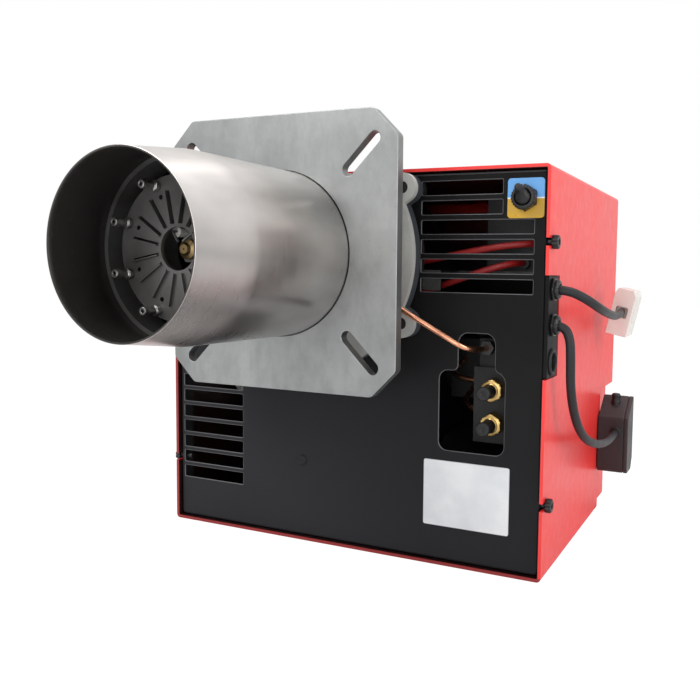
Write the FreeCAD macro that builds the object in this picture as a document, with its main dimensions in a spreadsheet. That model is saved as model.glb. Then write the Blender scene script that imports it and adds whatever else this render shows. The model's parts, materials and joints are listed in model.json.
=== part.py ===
import FreeCAD, Part
import math
import os
import Sketcher

# Dual-fuel monobloc burner. Millimetres. The origin is on the blast tube axis at the front face of the
# boiler flange plate: +X to the right seen from the front, -Y the way the tube points, +Z up.

V = FreeCAD.Vector
Turn = FreeCAD.Rotation
doc = FreeCAD.newDocument("Burner")
sheet = doc.addObject("Spreadsheet::Sheet", "Sizes")
rows = []
counts = {}
nodes = {}


def joined(left, sign, right):
    left = asSize(left)
    right = asSize(right)
    if sign == "+":
        value = left.value + right.value
    elif sign == "-":
        value = left.value - right.value
    elif sign == "*":
        value = left.value * right.value
    else:
        value = left.value / right.value
    return Size(value, "(%s %s %s)" % (left.text, sign, right.text))


class Size:
    # a number together with the sheet expression that gives it
    def __init__(self, value, text):
        self.value = float(value)
        self.text = text

    def __add__(self, other):
        return joined(self, "+", other)

    def __radd__(self, other):
        return joined(other, "+", self)

    def __sub__(self, other):
        return joined(self, "-", other)

    def __rsub__(self, other):
        return joined(other, "-", self)

    def __mul__(self, other):
        return joined(self, "*", other)

    def __rmul__(self, other):
        return joined(other, "*", self)

    def __truediv__(self, other):
        return joined(self, "/", other)

    def __neg__(self):
        return joined(0, "-", self)


def asSize(amount):
    if isinstance(amount, Size):
        return amount
    return Size(amount, "(%.6f)" % amount)


def number(amount):
    return asSize(amount).value


def root(amount):
    return Size(math.sqrt(amount.value), "sqrt(%s)" % amount.text)


def size(alias, value, note):
    rows.append(alias)
    row = len(rows)
    sheet.set("A%d" % row, note)
    sheet.set("B%d" % row, "%g" % value)
    sheet.setAlias("B%d" % row, alias)
    return Size(value, "Sizes." + alias)


def nextName(kind):
    counts[kind] = counts.get(kind, 0) + 1
    return "%s%d" % (kind, counts[kind])


def bind(item, field, amount):
    item.setExpression(field, asSize(amount).text)


def place(item, at, turn=None):
    if turn is not None:
        item.Placement = FreeCAD.Placement(V(0, 0, 0), turn)
    for letter, amount in zip("xyz", at):
        bind(item, "Placement.Base." + letter, amount)
    return item


def publish(label, item):
    item.Label = label
    nodes[label] = item
    return item


ways = {
    "x": Turn(V(0, 1, 0), 90),
    "-x": Turn(V(0, 1, 0), -90),
    "y": Turn(V(1, 0, 0), -90),
    "-y": Turn(V(1, 0, 0), 90),
    "z": Turn(),
}


def turnOf(way):
    if isinstance(way, str):
        return ways[way]
    return Turn(V(0, 0, 1), V(*way))


def block(xs, ys, zs):
    item = doc.addObject("Part::Box", nextName("Block"))
    bind(item, "Length", xs[1] - xs[0])
    bind(item, "Width", ys[1] - ys[0])
    bind(item, "Height", zs[1] - zs[0])
    return place(item, (xs[0], ys[0], zs[0]))


def rod(radius, length, at, way):
    item = doc.addObject("Part::Cylinder", nextName("Rod"))
    bind(item, "Radius", radius)
    bind(item, "Height", length)
    return place(item, at, turnOf(way))


def cone(radiusStart, radiusEnd, length, at, way):
    item = doc.addObject("Part::Cone", nextName("Cone"))
    bind(item, "Radius1", radiusStart)
    bind(item, "Radius2", radiusEnd)
    bind(item, "Height", length)
    return place(item, at, turnOf(way))


def hexagon(flats, length, at, way):
    item = doc.addObject("Part::Prism", nextName("Hexagon"))
    item.Polygon = 6
    bind(item, "Circumradius", flats / math.sqrt(3))
    bind(item, "Height", length)
    return place(item, at, turnOf(way))


def ball(radius, at):
    item = doc.addObject("Part::Sphere", nextName("Ball"))
    bind(item, "Radius", radius)
    return place(item, at)


def fuse(*items):
    if len(items) == 1:
        return items[0]
    item = doc.addObject("Part::MultiFuse", nextName("Fuse"))
    item.Shapes = list(items)
    item.Refine = True
    return item


def cut(base, *tools):
    item = doc.addObject("Part::Cut", nextName("Cut"))
    item.Base = base
    item.Tool = fuse(*tools)
    item.Refine = True
    return item


def group(*items):
    item = doc.addObject("Part::Compound", nextName("Group"))
    item.Links = list(items)
    return item


def newBody(at=None):
    body = doc.addObject("PartDesign::Body", nextName("Body"))
    if at is not None:
        place(body, at)
    return body


def arcBetween(start, end, radius):
    reach = (end - start).Length / 2
    across = V(start.y - end.y, end.x - start.x, 0).normalize()
    rise = math.sqrt(max(radius * radius - reach * reach, 0))
    centre = (start + end) * 0.5 + across * (rise if radius > 0 else -rise)
    first, last = (start, end) if radius > 0 else (end, start)
    low = math.atan2(first.y - centre.y, first.x - centre.x)
    high = math.atan2(last.y - centre.y, last.x - centre.x)
    if high < low:
        high += 2 * math.pi
    return Part.ArcOfCircle(Part.Circle(centre, V(0, 0, 1), abs(radius)), low, high)


def drawLoop(sketch, corners):
    # corners are (u, v) or (u, v, r): r is the signed radius of an arc to the next corner
    spots = [V(number(corner[0]), number(corner[1]), 0) for corner in corners]
    ends = []
    for index, corner in enumerate(corners):
        start = spots[index]
        end = spots[(index + 1) % len(corners)]
        if len(corner) > 2:
            radius = number(corner[2])
            made = sketch.addGeometry(arcBetween(start, end, radius), False)
            ends.append((made, 1, 2) if radius > 0 else (made, 2, 1))
            held = sketch.addConstraint(Sketcher.Constraint("Radius", made, abs(radius)))
            bend = asSize(corner[2])
            bind(sketch, "Constraints[%d]" % held, bend if radius > 0 else -bend)
        else:
            made = sketch.addGeometry(Part.LineSegment(start, end), False)
            ends.append((made, 1, 2))
    for index, here in enumerate(ends):
        after = ends[(index + 1) % len(ends)]
        sketch.addConstraint(Sketcher.Constraint("Coincident", here[0], here[2], after[0], after[1]))
    for index, here in enumerate(ends):
        for kind, amount in (("DistanceX", corners[index][0]), ("DistanceY", corners[index][1])):
            held = sketch.addConstraint(Sketcher.Constraint(kind, -1, 1, here[0], here[1], number(amount)))
            bind(sketch, "Constraints[%d]" % held, amount)


def drawRing(sketch, ring):
    u, v, radius = ring
    made = sketch.addGeometry(Part.Circle(V(number(u), number(v), 0), V(0, 0, 1), number(radius)), False)
    for kind, amount in (("DistanceX", u), ("DistanceY", v)):
        held = sketch.addConstraint(Sketcher.Constraint(kind, -1, 1, made, 3, number(amount)))
        bind(sketch, "Constraints[%d]" % held, amount)
    held = sketch.addConstraint(Sketcher.Constraint("Radius", made, number(radius)))
    bind(sketch, "Constraints[%d]" % held, radius)


def sketchOn(body, role, offset, loops=(), rings=(), turned=0):
    sketch = body.newObject("Sketcher::SketchObject", nextName("Sketch"))
    plane = [item for item in body.Origin.OriginFeatures if item.Role == role][0]
    sketch.AttachmentSupport = (plane, "")
    sketch.MapMode = "FlatFace"
    if turned:
        sketch.AttachmentOffset = FreeCAD.Placement(V(0, 0, 0), Turn(V(0, 0, 1), turned))
    bind(sketch, "AttachmentOffset.Base.z", -asSize(offset) if role == "XZ_Plane" else offset)
    for loop in loops:
        drawLoop(sketch, loop)
    for ring in rings:
        drawRing(sketch, ring)
    return sketch


def finished(body, feature):
    body.Tip = feature
    doc.recompute()
    return feature


def pad(body, sketch, length):
    feature = body.newObject("PartDesign::Pad", nextName("Pad"))
    feature.Profile = sketch
    bind(feature, "Length", length)
    feature.Reversed = sketch.AttachmentSupport[0][0].Role == "XZ_Plane"
    return finished(body, feature)


def pocket(body, sketch, length):
    feature = body.newObject("PartDesign::Pocket", nextName("Pocket"))
    feature.Profile = sketch
    bind(feature, "Length", length)
    feature.Reversed = sketch.AttachmentSupport[0][0].Role != "XZ_Plane"
    return finished(body, feature)


def revolved(body, sketch, axis="V_Axis"):
    feature = body.newObject("PartDesign::Revolution", nextName("Revolution"))
    feature.Profile = sketch
    feature.ReferenceAxis = (sketch, [axis])
    feature.Angle = 360
    return finished(body, feature)


def aroundAxis(body, sketch, features, many):
    feature = body.newObject("PartDesign::PolarPattern", nextName("Polar"))
    feature.Originals = features
    feature.Axis = (sketch, ["N_Axis"])
    feature.Angle = 360
    bind(feature, "Occurrences", many)
    return finished(body, feature)


def alongAxis(body, sketch, features, pitch, many):
    feature = body.newObject("PartDesign::LinearPattern", nextName("Row"))
    feature.Originals = features
    feature.Direction = (sketch, ["V_Axis"])
    bind(feature, "Length", pitch * (many - 1))
    feature.Occurrences = many
    return finished(body, feature)


def rounded(body, feature, radius, test):
    names = []
    for index, edge in enumerate(feature.Shape.Edges):
        if test(edge):
            names.append("Edge%d" % (index + 1))
    made = body.newObject("PartDesign::Fillet", nextName("Fillet"))
    made.Base = (feature, names)
    bind(made, "Radius", radius)
    return finished(body, made)


def roundedBox(low, high, bottom, top, radius):
    return [
        (low + radius, bottom), (high - radius, bottom, radius), (high, bottom + radius), (high, top - radius, radius),
        (high - radius, top), (low + radius, top, radius), (low, top - radius), (low, bottom + radius, radius),
    ]


def turnedPart(corners, at=(0, 0, 0), rings=()):
    # corners are (radius, y) round the Y axis through the given place
    body = newBody(at)
    sketch = sketchOn(body, "XY_Plane", 0, [corners] + list(rings))
    revolved(body, sketch)
    return body


def bent(points, radius, name):
    # straight runs joined by tangent arcs, with a round section
    spots = [V(*[number(part) for part in point]) for point in points]
    runs = [(spots[index + 1] - spots[index]) for index in range(len(spots) - 1)]
    pieces = []
    radii = []
    start = spots[0]
    length = 0
    for index in range(1, len(spots) - 1):
        before = runs[index - 1]
        after = runs[index]
        half = before.getAngle(after) / 2
        trim = 0.45 * min(before.Length, after.Length)
        radii.append(trim / math.tan(half))
        way = V(before).normalize()
        leave = V(after).normalize()
        enter = spots[index] - way * trim
        leaves = spots[index] + leave * trim
        inward = (leave - way).normalize()
        middle = spots[index] + inward * (math.sqrt(radii[-1] ** 2 + trim ** 2) - radii[-1])
        pieces.append(Part.LineSegment(start, enter).toShape())
        pieces.append(Part.Arc(enter, middle, leaves).toShape())
        start = leaves
    pieces.append(Part.LineSegment(start, spots[-1]).toShape())
    wire = Part.Wire(pieces)
    path = doc.addObject("Part::Feature", nextName("Path"))
    path.Shape = wire
    ring = doc.addObject("Part::Circle", nextName("Ring"))
    bind(ring, "Radius", radius)
    ring.Placement = FreeCAD.Placement(spots[0], Turn(V(0, 0, 1), runs[0]))
    item = doc.addObject("Part::Sweep", nextName("Sweep"))
    item.Sections = [ring]
    item.Spine = (path, [])
    item.Solid = True
    item.Frenet = False
    doc.recompute()
    whole = math.pi * number(radius) ** 2 * wire.Length
    print("%s length %.1f volume ratio %.4f radii %s" % (
        name, wire.Length, item.Shape.Volume / whole, ", ".join("%.1f" % one for one in radii)))
    return item


def polar(radius, angle):
    return radius * math.cos(math.radians(angle)), radius * math.sin(math.radians(angle))


# clearances
seat = size("seatGap", 0.3, "gap of a piece that sits in an opening")
running = size("runningGap", 0.05, "radial gap of a running shaft")

# head
tubeRadius = size("tubeRadius", 72, "blast tube, outside")
tubeMouth = tubeRadius - size("mouthTaper", 6, "blast tube mouth, smaller in radius by this much")
tubeWall = size("tubeWall", 1.8, "blast tube wall")
tubeReach = size("tubeReach", 178, "blast tube in front of the flange face")
tubeStraight = size("tubeStraight", 125, "straight part of the tube in front of the flange face")
plateThick = size("plateThickness", 10, "boiler flange plate")
plateWidth = tubeRadius * 2 + size("plateMarginAside", 90, "boiler flange plate wider than the tube")
plateHeight = tubeRadius * 2 + size("plateMarginUp", 96, "boiler flange plate higher than the tube")
plateCorner = size("plateCorner", 23, "corner chamfer of the boiler flange plate")
slotRadius = tubeRadius + size("slotPlace", 45, "middle of the stud slots outside the tube")
slotLength = size("slotLength", 46, "stud slot, end to end")
slotWidth = size("slotWidth", 11, "stud slot width")
tubeSeat = size("tubeSeat", 16, "rear end of the blast tube behind the flange face")
tubeStep = size("tubeStep", 0.8, "rear end of the blast tube, turned down by this much")
neckRadius = tubeRadius + size("neckWall", 8, "neck of the head casting, outside the tube's radius")
neckBore = tubeRadius - size("neckStep", 5.5, "bore of the neck, inside the tube's radius")
headFront = size("headFront", 48, "front face of the head casting flange")
headThick = size("headThickness", 6, "head casting flange")
gasketThick = size("gasketThickness", 1.5, "head gasket")
headRadius = tubeRadius + size("headRim", 36.5, "round flange of the head, outside the tube's radius")
earRadius = size("earRadius", 13, "ears of the head flange")
earAcross = tubeRadius + size("earPlace", 25, "ear centre sideways, outside the tube's radius")
earUp = size("earUp", 60, "ear centre from the middle, up and down")
earHole = size("earHole", 5.5, "hole radius in the ears")
ductFlange = size("ductFlange", 7.5, "flange of the fan housing")
headBack = headFront + headThick
gasketBack = headBack + gasketThick


# hood and front sheet
hoodWidth = size("hoodWidth", 400, "hood, outside width")
hoodMiddle = size("hoodMiddle", 28, "hood middle, right of the tube axis")
hoodDrop = size("hoodDrop", 278.6, "hood underside below the tube axis")
hoodTop = tubeRadius + size("hoodTopMargin", 5.4, "hood top above the tube")
hoodFront = size("hoodFront", 60, "front rim of the hood behind the flange face")
hoodDepth = size("hoodDepth", 312, "hood, front to back")
hoodWall = size("hoodWall", 3, "hood wall")
hoodStep = size("hoodStep", 142, "lower rear part starts this far below the tube axis")
hoodStepIn = size("hoodStepIn", 6, "lower rear part set in at each side")
hoodStepBack = size("hoodStepBack", 10, "lower rear part set in at the back")
hoodStepReach = size("hoodStepReach", 81, "lower rear part reaches forward of the back")
hoodCorner = size("hoodCorner", 4, "long edges of the hood")
hoodRearCorner = size("hoodRearCorner", 12, "rear edges of the hood")
hoodLeft = hoodMiddle - hoodWidth / 2
hoodRight = hoodMiddle + hoodWidth / 2
hoodBottom = -hoodDrop
hoodBack = hoodFront + hoodDepth
sheetSet = size("panelSetBack", 4, "front sheet behind the hood rim")
sheetThick = size("panelThickness", 1.5, "front sheet")
sheetSide = size("panelSideGap", 3.8, "front sheet inside the hood outline, sides and bottom")
sheetTop = size("panelTopGap", 4.4, "front sheet below the hood top")
sheetReturn = size("panelReturn", 16, "depth of the bent-back edges")
panelFront = hoodFront + sheetSet
panelBack = panelFront + sheetThick
panelLeft = hoodLeft + sheetSide
panelRight = hoodRight - sheetSide
panelUp = hoodTop - sheetTop
panelDown = hoodBottom + sheetSide
ductStart = panelBack
ductBack = ductStart + ductFlange

# burner head inside the tube
discPlace = size("discPlace", 122, "diffuser disc in front of the flange face")
discRadius = tubeRadius - size("discGap", 18, "diffuser disc, inside the tube's radius")
discHole = size("discHole", 16, "middle hole of the diffuser disc")
discThick = size("discThickness", 1.5, "diffuser disc")
jetCircle = discRadius - size("jetPlace", 4.5, "gas jets inside the rim of the disc")
jetRadius = size("jetRadius", 3.5, "gas jet, outside")
jetReach = size("jetReach", 138, "front end of the gas jets")
ringFront = size("ringFront", 112, "front of the gas distributor ring")
ringDepth = size("ringDepth", 16, "gas distributor ring, front to back")
feedAside = size("feedAside", 38, "gas feed pipe, left of the tube axis")
feedRadius = size("feedRadius", 9, "gas feed pipe, outside")
airRingOut = tubeRadius - tubeWall - seat
airRingIn = airRingOut - size("airRingWall", 3.7, "air ring, wall")
airRingFront = size("airRingFront", 124, "front of the air ring")
inletBore = size("inletBore", 13.2, "gas inlet thread, core radius")
inletPlace = size("inletPlace", 29.5, "gas inlet axis behind the flange face")
inletReach = tubeRadius + size("inletReach", 42, "face of the gas inlet, outside the tube's radius")
armTurn = -24
armPlace = size("armPlace", 38, "oil arm behind the flange face")
armReach = neckRadius + size("armReach", 4, "face of the oil boss, outside the neck")

# fan
fanBack = size("fanPlace", 185, "fan axis behind the flange face")
fanDown = size("fanDrop", 110, "fan axis below the tube axis")
fanRadius = size("fanRadius", 80, "fan wheel")
fanInner = size("fanInner", 58, "inner end of the fan blades")
fanWidth = size("fanWidth", 66, "fan wheel width")
fanPlate = size("fanPlate", 3, "back plate and front ring of the fan wheel")
bladeCurve = size("bladeCurve", 16, "curve of a fan blade")
bladeThick = size("bladeThickness", 1, "fan blade")
housingWidth = size("housingWidth", 90, "fan housing, outside width")
housingWall = size("housingWall", 4, "fan housing wall")
ductHeight = size("ductHeight", 116, "fan outlet, inside height")
spiralStep = size("spiralStep", 23.4, "growth of the scroll from arc to arc")
shaftRadius = size("shaftRadius", 6.35, "motor shaft")
motorRadius = size("motorRadius", 58, "motor body")
boxDeep = size("inletBoxWidth", 50, "air inlet box, sideways")
damperPlace = size("damperPlace", 168, "damper axis below the tube axis")
fan = (0, fanBack, -fanDown)
houseSide = housingWidth / 2

# boiler flange plate
def boilerFlange():
    wide = plateWidth / 2
    high = plateHeight / 2
    body = newBody()
    outline = [
        (plateCorner - wide, -high), (wide - plateCorner, -high), (wide, plateCorner - high), (wide, high - plateCorner),
        (wide - plateCorner, high), (plateCorner - wide, high), (-wide, high - plateCorner), (-wide, plateCorner - high),
    ]
    plate = pad(body, sketchOn(body, "XZ_Plane", 0, [outline], [(0, 0, tubeRadius + seat)]), plateThick)
    rounded(body, plate, 6, lambda edge: edge.BoundBox.YLength > 1 and edge.BoundBox.XLength < 0.1)
    tip = body.Tip
    near = slotRadius - slotLength / 2
    far = slotRadius + slotLength / 2
    half = slotWidth / 2
    slot = [
        (near + half, -half), (far - half, -half, half), (far, 0, half), (far - half, half),
        (near + half, half, half), (near, 0, half),
    ]
    drawn = sketchOn(body, "XZ_Plane", 0, [slot], turned=45)
    made = pocket(body, drawn, plateThick)
    aroundAxis(body, drawn, [made], 4)
    made = body.Tip
    rounded(body, made, 0.8, lambda edge: edge.BoundBox.YMax < 0.01 and edge.BoundBox.DiagonalLength > 20
            and edge.Curve.TypeId == "Part::GeomLine" and abs(edge.CenterOfMass.x) + abs(edge.CenterOfMass.z) > 112
            and edge.CenterOfMass.Length > 116)
    return body


publish("boiler_flange", boilerFlange())

# blast tube
publish("blast_tube", turnedPart([
    (tubeRadius - tubeWall, tubeSeat), (tubeRadius - tubeWall, -tubeStraight), (tubeMouth - tubeWall, -tubeReach),
    (tubeMouth, -tubeReach), (tubeRadius, -tubeStraight), (tubeRadius, -1), (tubeRadius - tubeStep, -1),
    (tubeRadius - tubeStep, tubeSeat),
]))


def earedDisc(front, back):
    thick = back - front
    solids = [rod(headRadius, thick, (0, front, 0), "y")]
    for side in (-1, 1):
        for level in (-1, 1):
            solids.append(rod(earRadius, thick, (earAcross * side, front, earUp * level), "y"))
            angle = math.atan2(number(earUp) * level, number(earAcross) * side)
            arm = doc.addObject("Part::Box", nextName("Arm"))
            bind(arm, "Length", root(earAcross * earAcross + earUp * earUp))
            bind(arm, "Width", thick)
            bind(arm, "Height", earRadius * 2)
            spot = (earRadius * math.sin(angle), front, earRadius * -math.cos(angle))
            solids.append(place(arm, spot, Turn(V(0, 1, 0), -math.degrees(angle))))
    # the disc ends under the hood's top wall
    level = hoodTop - hoodWall - seat
    return cut(fuse(*solids), block((-200, 200), (front - 1, back + 1), (level, level + 90)))


def earHoles(front, back, radius):
    holes = []
    for side in (-1, 1):
        for level in (-1, 1):
            holes.append(rod(radius, back - front + 2, (earAcross * side, front - 1, earUp * level), "y"))
    return holes


def radial(radius, along, angle):
    # a place on the ray at this angle, at this depth
    return (radius * math.cos(math.radians(angle)), along, radius * math.sin(math.radians(angle)))


# head casting: neck, eared flange, gas inlet and oil boss
def headCasting():
    ray = (math.cos(math.radians(armTurn)), 0, math.sin(math.radians(armTurn)))
    within = neckBore - 6.5
    outside = fuse(
        earedDisc(headFront, headBack),
        rod(neckRadius, headBack - plateThick, (0, plateThick, 0), "y"),
        rod(inletBore + 5, inletReach - within, (-within, inletPlace, 0), "-x"),
        rod(9, armReach - within, radial(within, armPlace, armTurn), ray),
    )
    opened = cut(
        outside,
        rod(neckBore, 60, (0, plateThick - 1, 0), "y"),
        rod(tubeRadius - tubeStep + seat, tubeSeat - plateThick + 1, (0, plateThick - 1, 0), "y"),
        rod(5.3, 40, radial(within - 5, armPlace, armTurn), ray),
        block((-3.3, 3.3), (20.7, 39.5), (within, neckRadius + 2)),
        *earHoles(headFront, headBack, earHole)
    )
    gasBlock = block((-neckBore - 5.5, 12 - feedAside), (tubeSeat + seat, 42), (-13, 13))
    return cut(
        fuse(opened, gasBlock),
        rod(8, inletReach + 1 - feedAside, (-inletReach - 1, inletPlace, 0), "x"),
        rod(inletBore, 18, (-inletReach, inletPlace, 0), "x"),
        rod(feedRadius + seat, 10, (-feedAside, 11, 0), "y"),
        rod(feedRadius - 1.5, 9, (-feedAside, 20.5, 0), "y"),
    )


publish("head_casting", headCasting())
publish("head_gasket", cut(
    earedDisc(headBack, gasketBack),
    rod(neckBore + 1.5, 4, (0, headBack - 1, 0), "y"),
    *earHoles(headBack, gasketBack, earHole)
))
publish("spacer_ring", cut(
    earedDisc(gasketBack, panelFront),
    rod(neckBore, 12, (0, gasketBack - 1, 0), "y"),
    *earHoles(gasketBack, panelFront, earHole)
))
bolts = []
for side in (-1, 1):
    for level in (-1, 1):
        shank = rod(5, ductBack - headFront - 2, (earAcross * side, headFront + 2, earUp * level), "y")
        bolts.append(fuse(shank, hexagon(asSize(17), 6.4, (earAcross * side, ductBack, earUp * level), "y")))
publish("head_bolts", group(*bolts))


# diffuser disc with raised lips beside its radial slots
def diffuserDisc():
    front = -discPlace
    body = newBody()
    revolved(body, sketchOn(body, "XY_Plane", 0, [[
        (discHole, front), (discRadius, front), (discRadius, front + 6), (discRadius - 0.7, front + 6),
        (discRadius - 0.7, front + discThick), (discHole + 1, front + discThick), (discHole + 1, front + 3),
        (discHole, front + 3),
    ]]))
    lip = sketchOn(body, "XZ_Plane", front - 2.6, [[(18.5, 0.8), (43, 0.8), (43, 1.7), (18.5, 1.7)]], turned=11.25)
    lipMade = pad(body, lip, 2.8)
    slot = sketchOn(body, "XZ_Plane", front - 3, [[(18.5, -0.8), (43, -0.8), (43, 0.8), (18.5, 0.8)]], turned=11.25)
    slotMade = pocket(body, slot, 5)
    aroundAxis(body, slot, [lipMade, slotMade], 16)
    spot = polar(40.5, 22.5)
    hole = sketchOn(body, "XZ_Plane", front - 3, (), [(spot[0], spot[1], 1.8)])
    holeMade = pocket(body, hole, 5)
    aroundAxis(body, hole, [holeMade], 8)
    spot = polar(jetCircle, 22.5)
    port = sketchOn(body, "XZ_Plane", front - 3, (), [(spot[0], spot[1], jetRadius + 0.1)])
    portMade = pocket(body, port, 5)
    aroundAxis(body, port, [portMade], 8)
    return body


publish("diffuser_disc", diffuserDisc())
jets = []
jetHoles = []
for index in range(8):
    angle = 22.5 + 45 * index
    spot = radial(jetCircle, -jetReach, angle)
    jets.append(cut(rod(jetRadius, jetReach - ringFront, spot, "y"), rod(1.75, jetReach - ringFront + 2,
                    (spot[0], -jetReach - 1, spot[2]), "y")))
    jetHoles.append(rod(1.75, 6, (spot[0], -ringFront - 1, spot[2]), "y"))
publish("gas_jets", group(*jets))
ringBack = ringDepth - ringFront
manifold = turnedPart(
    [(24, -ringFront), (jetCircle + 6.5, -ringFront), (jetCircle + 6.5, ringBack), (24, ringBack)],
    rings=[[(28, 3.5 - ringFront), (28, ringBack - 3.5), (jetCircle + 2.5, ringBack - 3.5),
            (jetCircle + 2.5, 3.5 - ringFront)]],
)
feedEnd = 21
publish("gas_manifold", cut(
    fuse(manifold, rod(feedRadius, feedEnd - ringBack, (-feedAside, ringBack, 0), "y")),
    rod(feedRadius - 1.5, feedEnd + 1 - ringBack + 5, (-feedAside, ringBack - 5, 0), "y"),
    *jetHoles
))
ray = (math.cos(math.radians(armTurn)), 0, math.sin(math.radians(armTurn)))
publish("nozzle_line", fuse(
    rod(6, armPlace + 92, (0, -92, 0), "y"),
    hexagon(asSize(19), 16, (0, -108, 0), "y"),
    block((-9, 9), (armPlace - 8, armPlace + 8), (-9, 9)),
    rod(5, armReach, (0, armPlace, 0), ray),
))
publish("oil_nozzle", turnedPart([
    (0.6, -116), (3.5, -116), (5, -114), (7.5, -112.5), (7.5, -108), (0.6, -108),
]))
insulators = []
rods = []
clampHoles = [rod(6, 20, (0, -90, 0), "y")]
for side in (-1, 1):
    insulators.append(rod(4, 62, (10 * side, -112, 13), "y"))
    clampHoles.append(rod(4, 20, (10 * side, -90, 13), "y"))
    rods.append(bent([(10 * side, -112, 13), (10 * side, -116, 13), (2.2 * side, -119.4, 5.5)], 1, "electrode"))
publish("electrode_insulators", group(*insulators))
publish("electrode_rods", group(*rods))
publish("electrode_clamp", cut(block((-16, 16), (-84, -76), (-9, 19)), *clampHoles))

# air ring with its rod, and the lock knob above the neck
ringBody = turnedPart([
    (airRingIn, -airRingFront), (airRingOut, -airRingFront), (airRingOut, 24 - airRingFront),
    (airRingIn, 24 - airRingFront),
])
publish("air_ring", fuse(
    ringBody, block((-3, 3), (-112, -104), (airRingIn - 4.2, airRingIn + 1.8)),
    rod(2.5, 139, (0, -112, airRingIn - 2.8), "y"),
    block((-3, 3), (20.9, 27.1), (neckBore - 5.5, neckBore - 0.5)),
))
publish("ring_knob", cut(
    fuse(rod(3, neckRadius - neckBore + 2.5, (0, 24, neckBore - 0.5), "z"), rod(9, 10, (0, 24, neckRadius + seat), "z"),
         cone(9, 7.5, 2, (0, 24, neckRadius + seat + 10), "z")),
    *[rod(1.4, 14, (9.6 * math.cos(math.radians(45 * index)), 24 + 9.6 * math.sin(math.radians(45 * index)), neckRadius),
          "z") for index in range(8)]
))


# front sheet: a pan with air slots, service opening and cut-outs
openLeft = hoodRight - size("openingLeft", 99, "service opening, left edge from the hood's right side")
openRight = hoodRight - size("openingRight", 37.3, "service opening, right edge from the hood's right side")
openLow = size("openingLow", 173.3, "service opening, bottom edge below the tube axis")
openStep = size("openingStep", 105, "service opening, shoulder below the tube axis")
openHigh = size("openingHigh", 67, "service opening, top edge below the tube axis")
ventPitch = size("ventPitch", 17.1, "pitch of the upper air slots")
ventHigh = size("ventHeight", 11.8, "height of an air slot")
ventPitchLow = size("ventPitchLow", 16.2, "pitch of the lower air slots")
ventEnd = hoodRight - size("ventEnd", 14.6, "right end of the long air slots from the hood's right side")
ventEndShort = hoodRight - size("ventEndShort", 43, "right end of the short air slots, likewise")
ventStart = earAcross + size("ventStart", 12.3, "left end of the upper air slots beside the ears")


def vents(body, start, end, low, pitch, many):
    # a column of plain slots, the lowest one first
    slot = roundedBox(start, end, low, low + ventHigh, 0.6)
    drawn = sketchOn(body, "XZ_Plane", panelFront - 1, [slot])
    made = pocket(body, drawn, sheetThick + 2)
    alongAxis(body, drawn, [made], pitch, many)


def frontPanel():
    body = newBody()
    thick = sheetThick
    corner = 4
    outline = roundedBox(panelLeft, panelRight, panelDown, panelUp, corner)
    made = pad(body, sketchOn(body, "XZ_Plane", panelFront, [outline]), sheetReturn)
    made = rounded(body, made, 2.4, lambda edge: edge.BoundBox.YMax < number(panelFront) + 0.01)
    within = roundedBox(panelLeft + thick, panelRight - thick, panelDown + thick, panelUp - thick, corner - 1.5)
    pocket(body, sketchOn(body, "XZ_Plane", panelBack, [within]), sheetReturn)
    lowest = panelUp - 7 - ventPitch * 5 - ventHigh
    vents(body, ventStart, ventEnd, lowest, ventPitch, 4)
    vents(body, ventStart, ventEndShort, lowest + ventPitch * 4, ventPitch, 2)
    vents(body, panelLeft + 4.5, panelLeft + 79.8, panelDown + 41.2, ventPitchLow, 7)
    neck = (openLeft + openRight) / 2
    shape = [
        (openLeft + 8, -openLow), (openRight - 8, -openLow, 8), (openRight, 8 - openLow), (openRight, -openStep - 4, 8),
        (openRight - 8, 4 - openStep), (neck + 27.2, 4 - openStep, -6), (neck + 21.2, 10 - openStep),
        (neck + 21.2, -openHigh - 9, 9), (neck + 12.2, -openHigh), (neck - 3.9, -openHigh, 9),
        (neck - 12.9, -openHigh - 9), (neck - 12.9, 10 - openStep, -6), (neck - 18.9, 4 - openStep),
        (openLeft + 8, 4 - openStep, 8), (openLeft, -openStep - 4), (openLeft, 8 - openLow, 8),
    ]
    holes = [(0, 0, neckBore)]
    for side in (-1, 1):
        for level in (-1, 1):
            holes.append((earAcross * side, earUp * level, earHole))
    holes.append((panelRight - 18.2, panelUp - 23.5, 8))
    holes.append((-16.9, panelDown + 74.7, 4))
    pocket(body, sketchOn(body, "XZ_Plane", panelFront - 1, [shape], holes), 4)
    # opening in the right return edge for the glands, and four screw holes
    low = panelUp - 174
    edge = [(panelFront + 5, low), (panelFront + 30, low), (panelFront + 30, low + 84), (panelFront + 5, low + 84)]
    pocket(body, sketchOn(body, "YZ_Plane", panelRight - 4, [edge]), 8)
    screws = [(panelFront + 6, panelUp - 60, 2.9), (panelFront + 6, panelDown + 61.8, 2.9)]
    pocket(body, sketchOn(body, "YZ_Plane", panelRight - 4, (), screws), 8)
    pocket(body, sketchOn(body, "YZ_Plane", panelLeft - 4, (), screws), 8)
    return body


publish("front_panel", frontPanel())
publish("push_cap", fuse(rod(5.5, 1.4, (-16.9, panelFront - 1.4, panelDown + 74.7), "y"),
                         rod(3.7, 4, (-16.9, panelFront - 0.5, panelDown + 74.7), "y"),
                         cone(4, 5.5, 0.8, (-16.9, panelFront - 2.2, panelDown + 74.7), "y")))
plateLow = panelDown + 31.3
ratingBody = newBody()
pad(ratingBody, sketchOn(ratingBody, "XZ_Plane", panelFront - 0.6,
    [roundedBox(hoodRight - 113, hoodRight - 31, plateLow, plateLow + 60.5, 2)]), 0.6)
publish("rating_plate", ratingBody)

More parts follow.
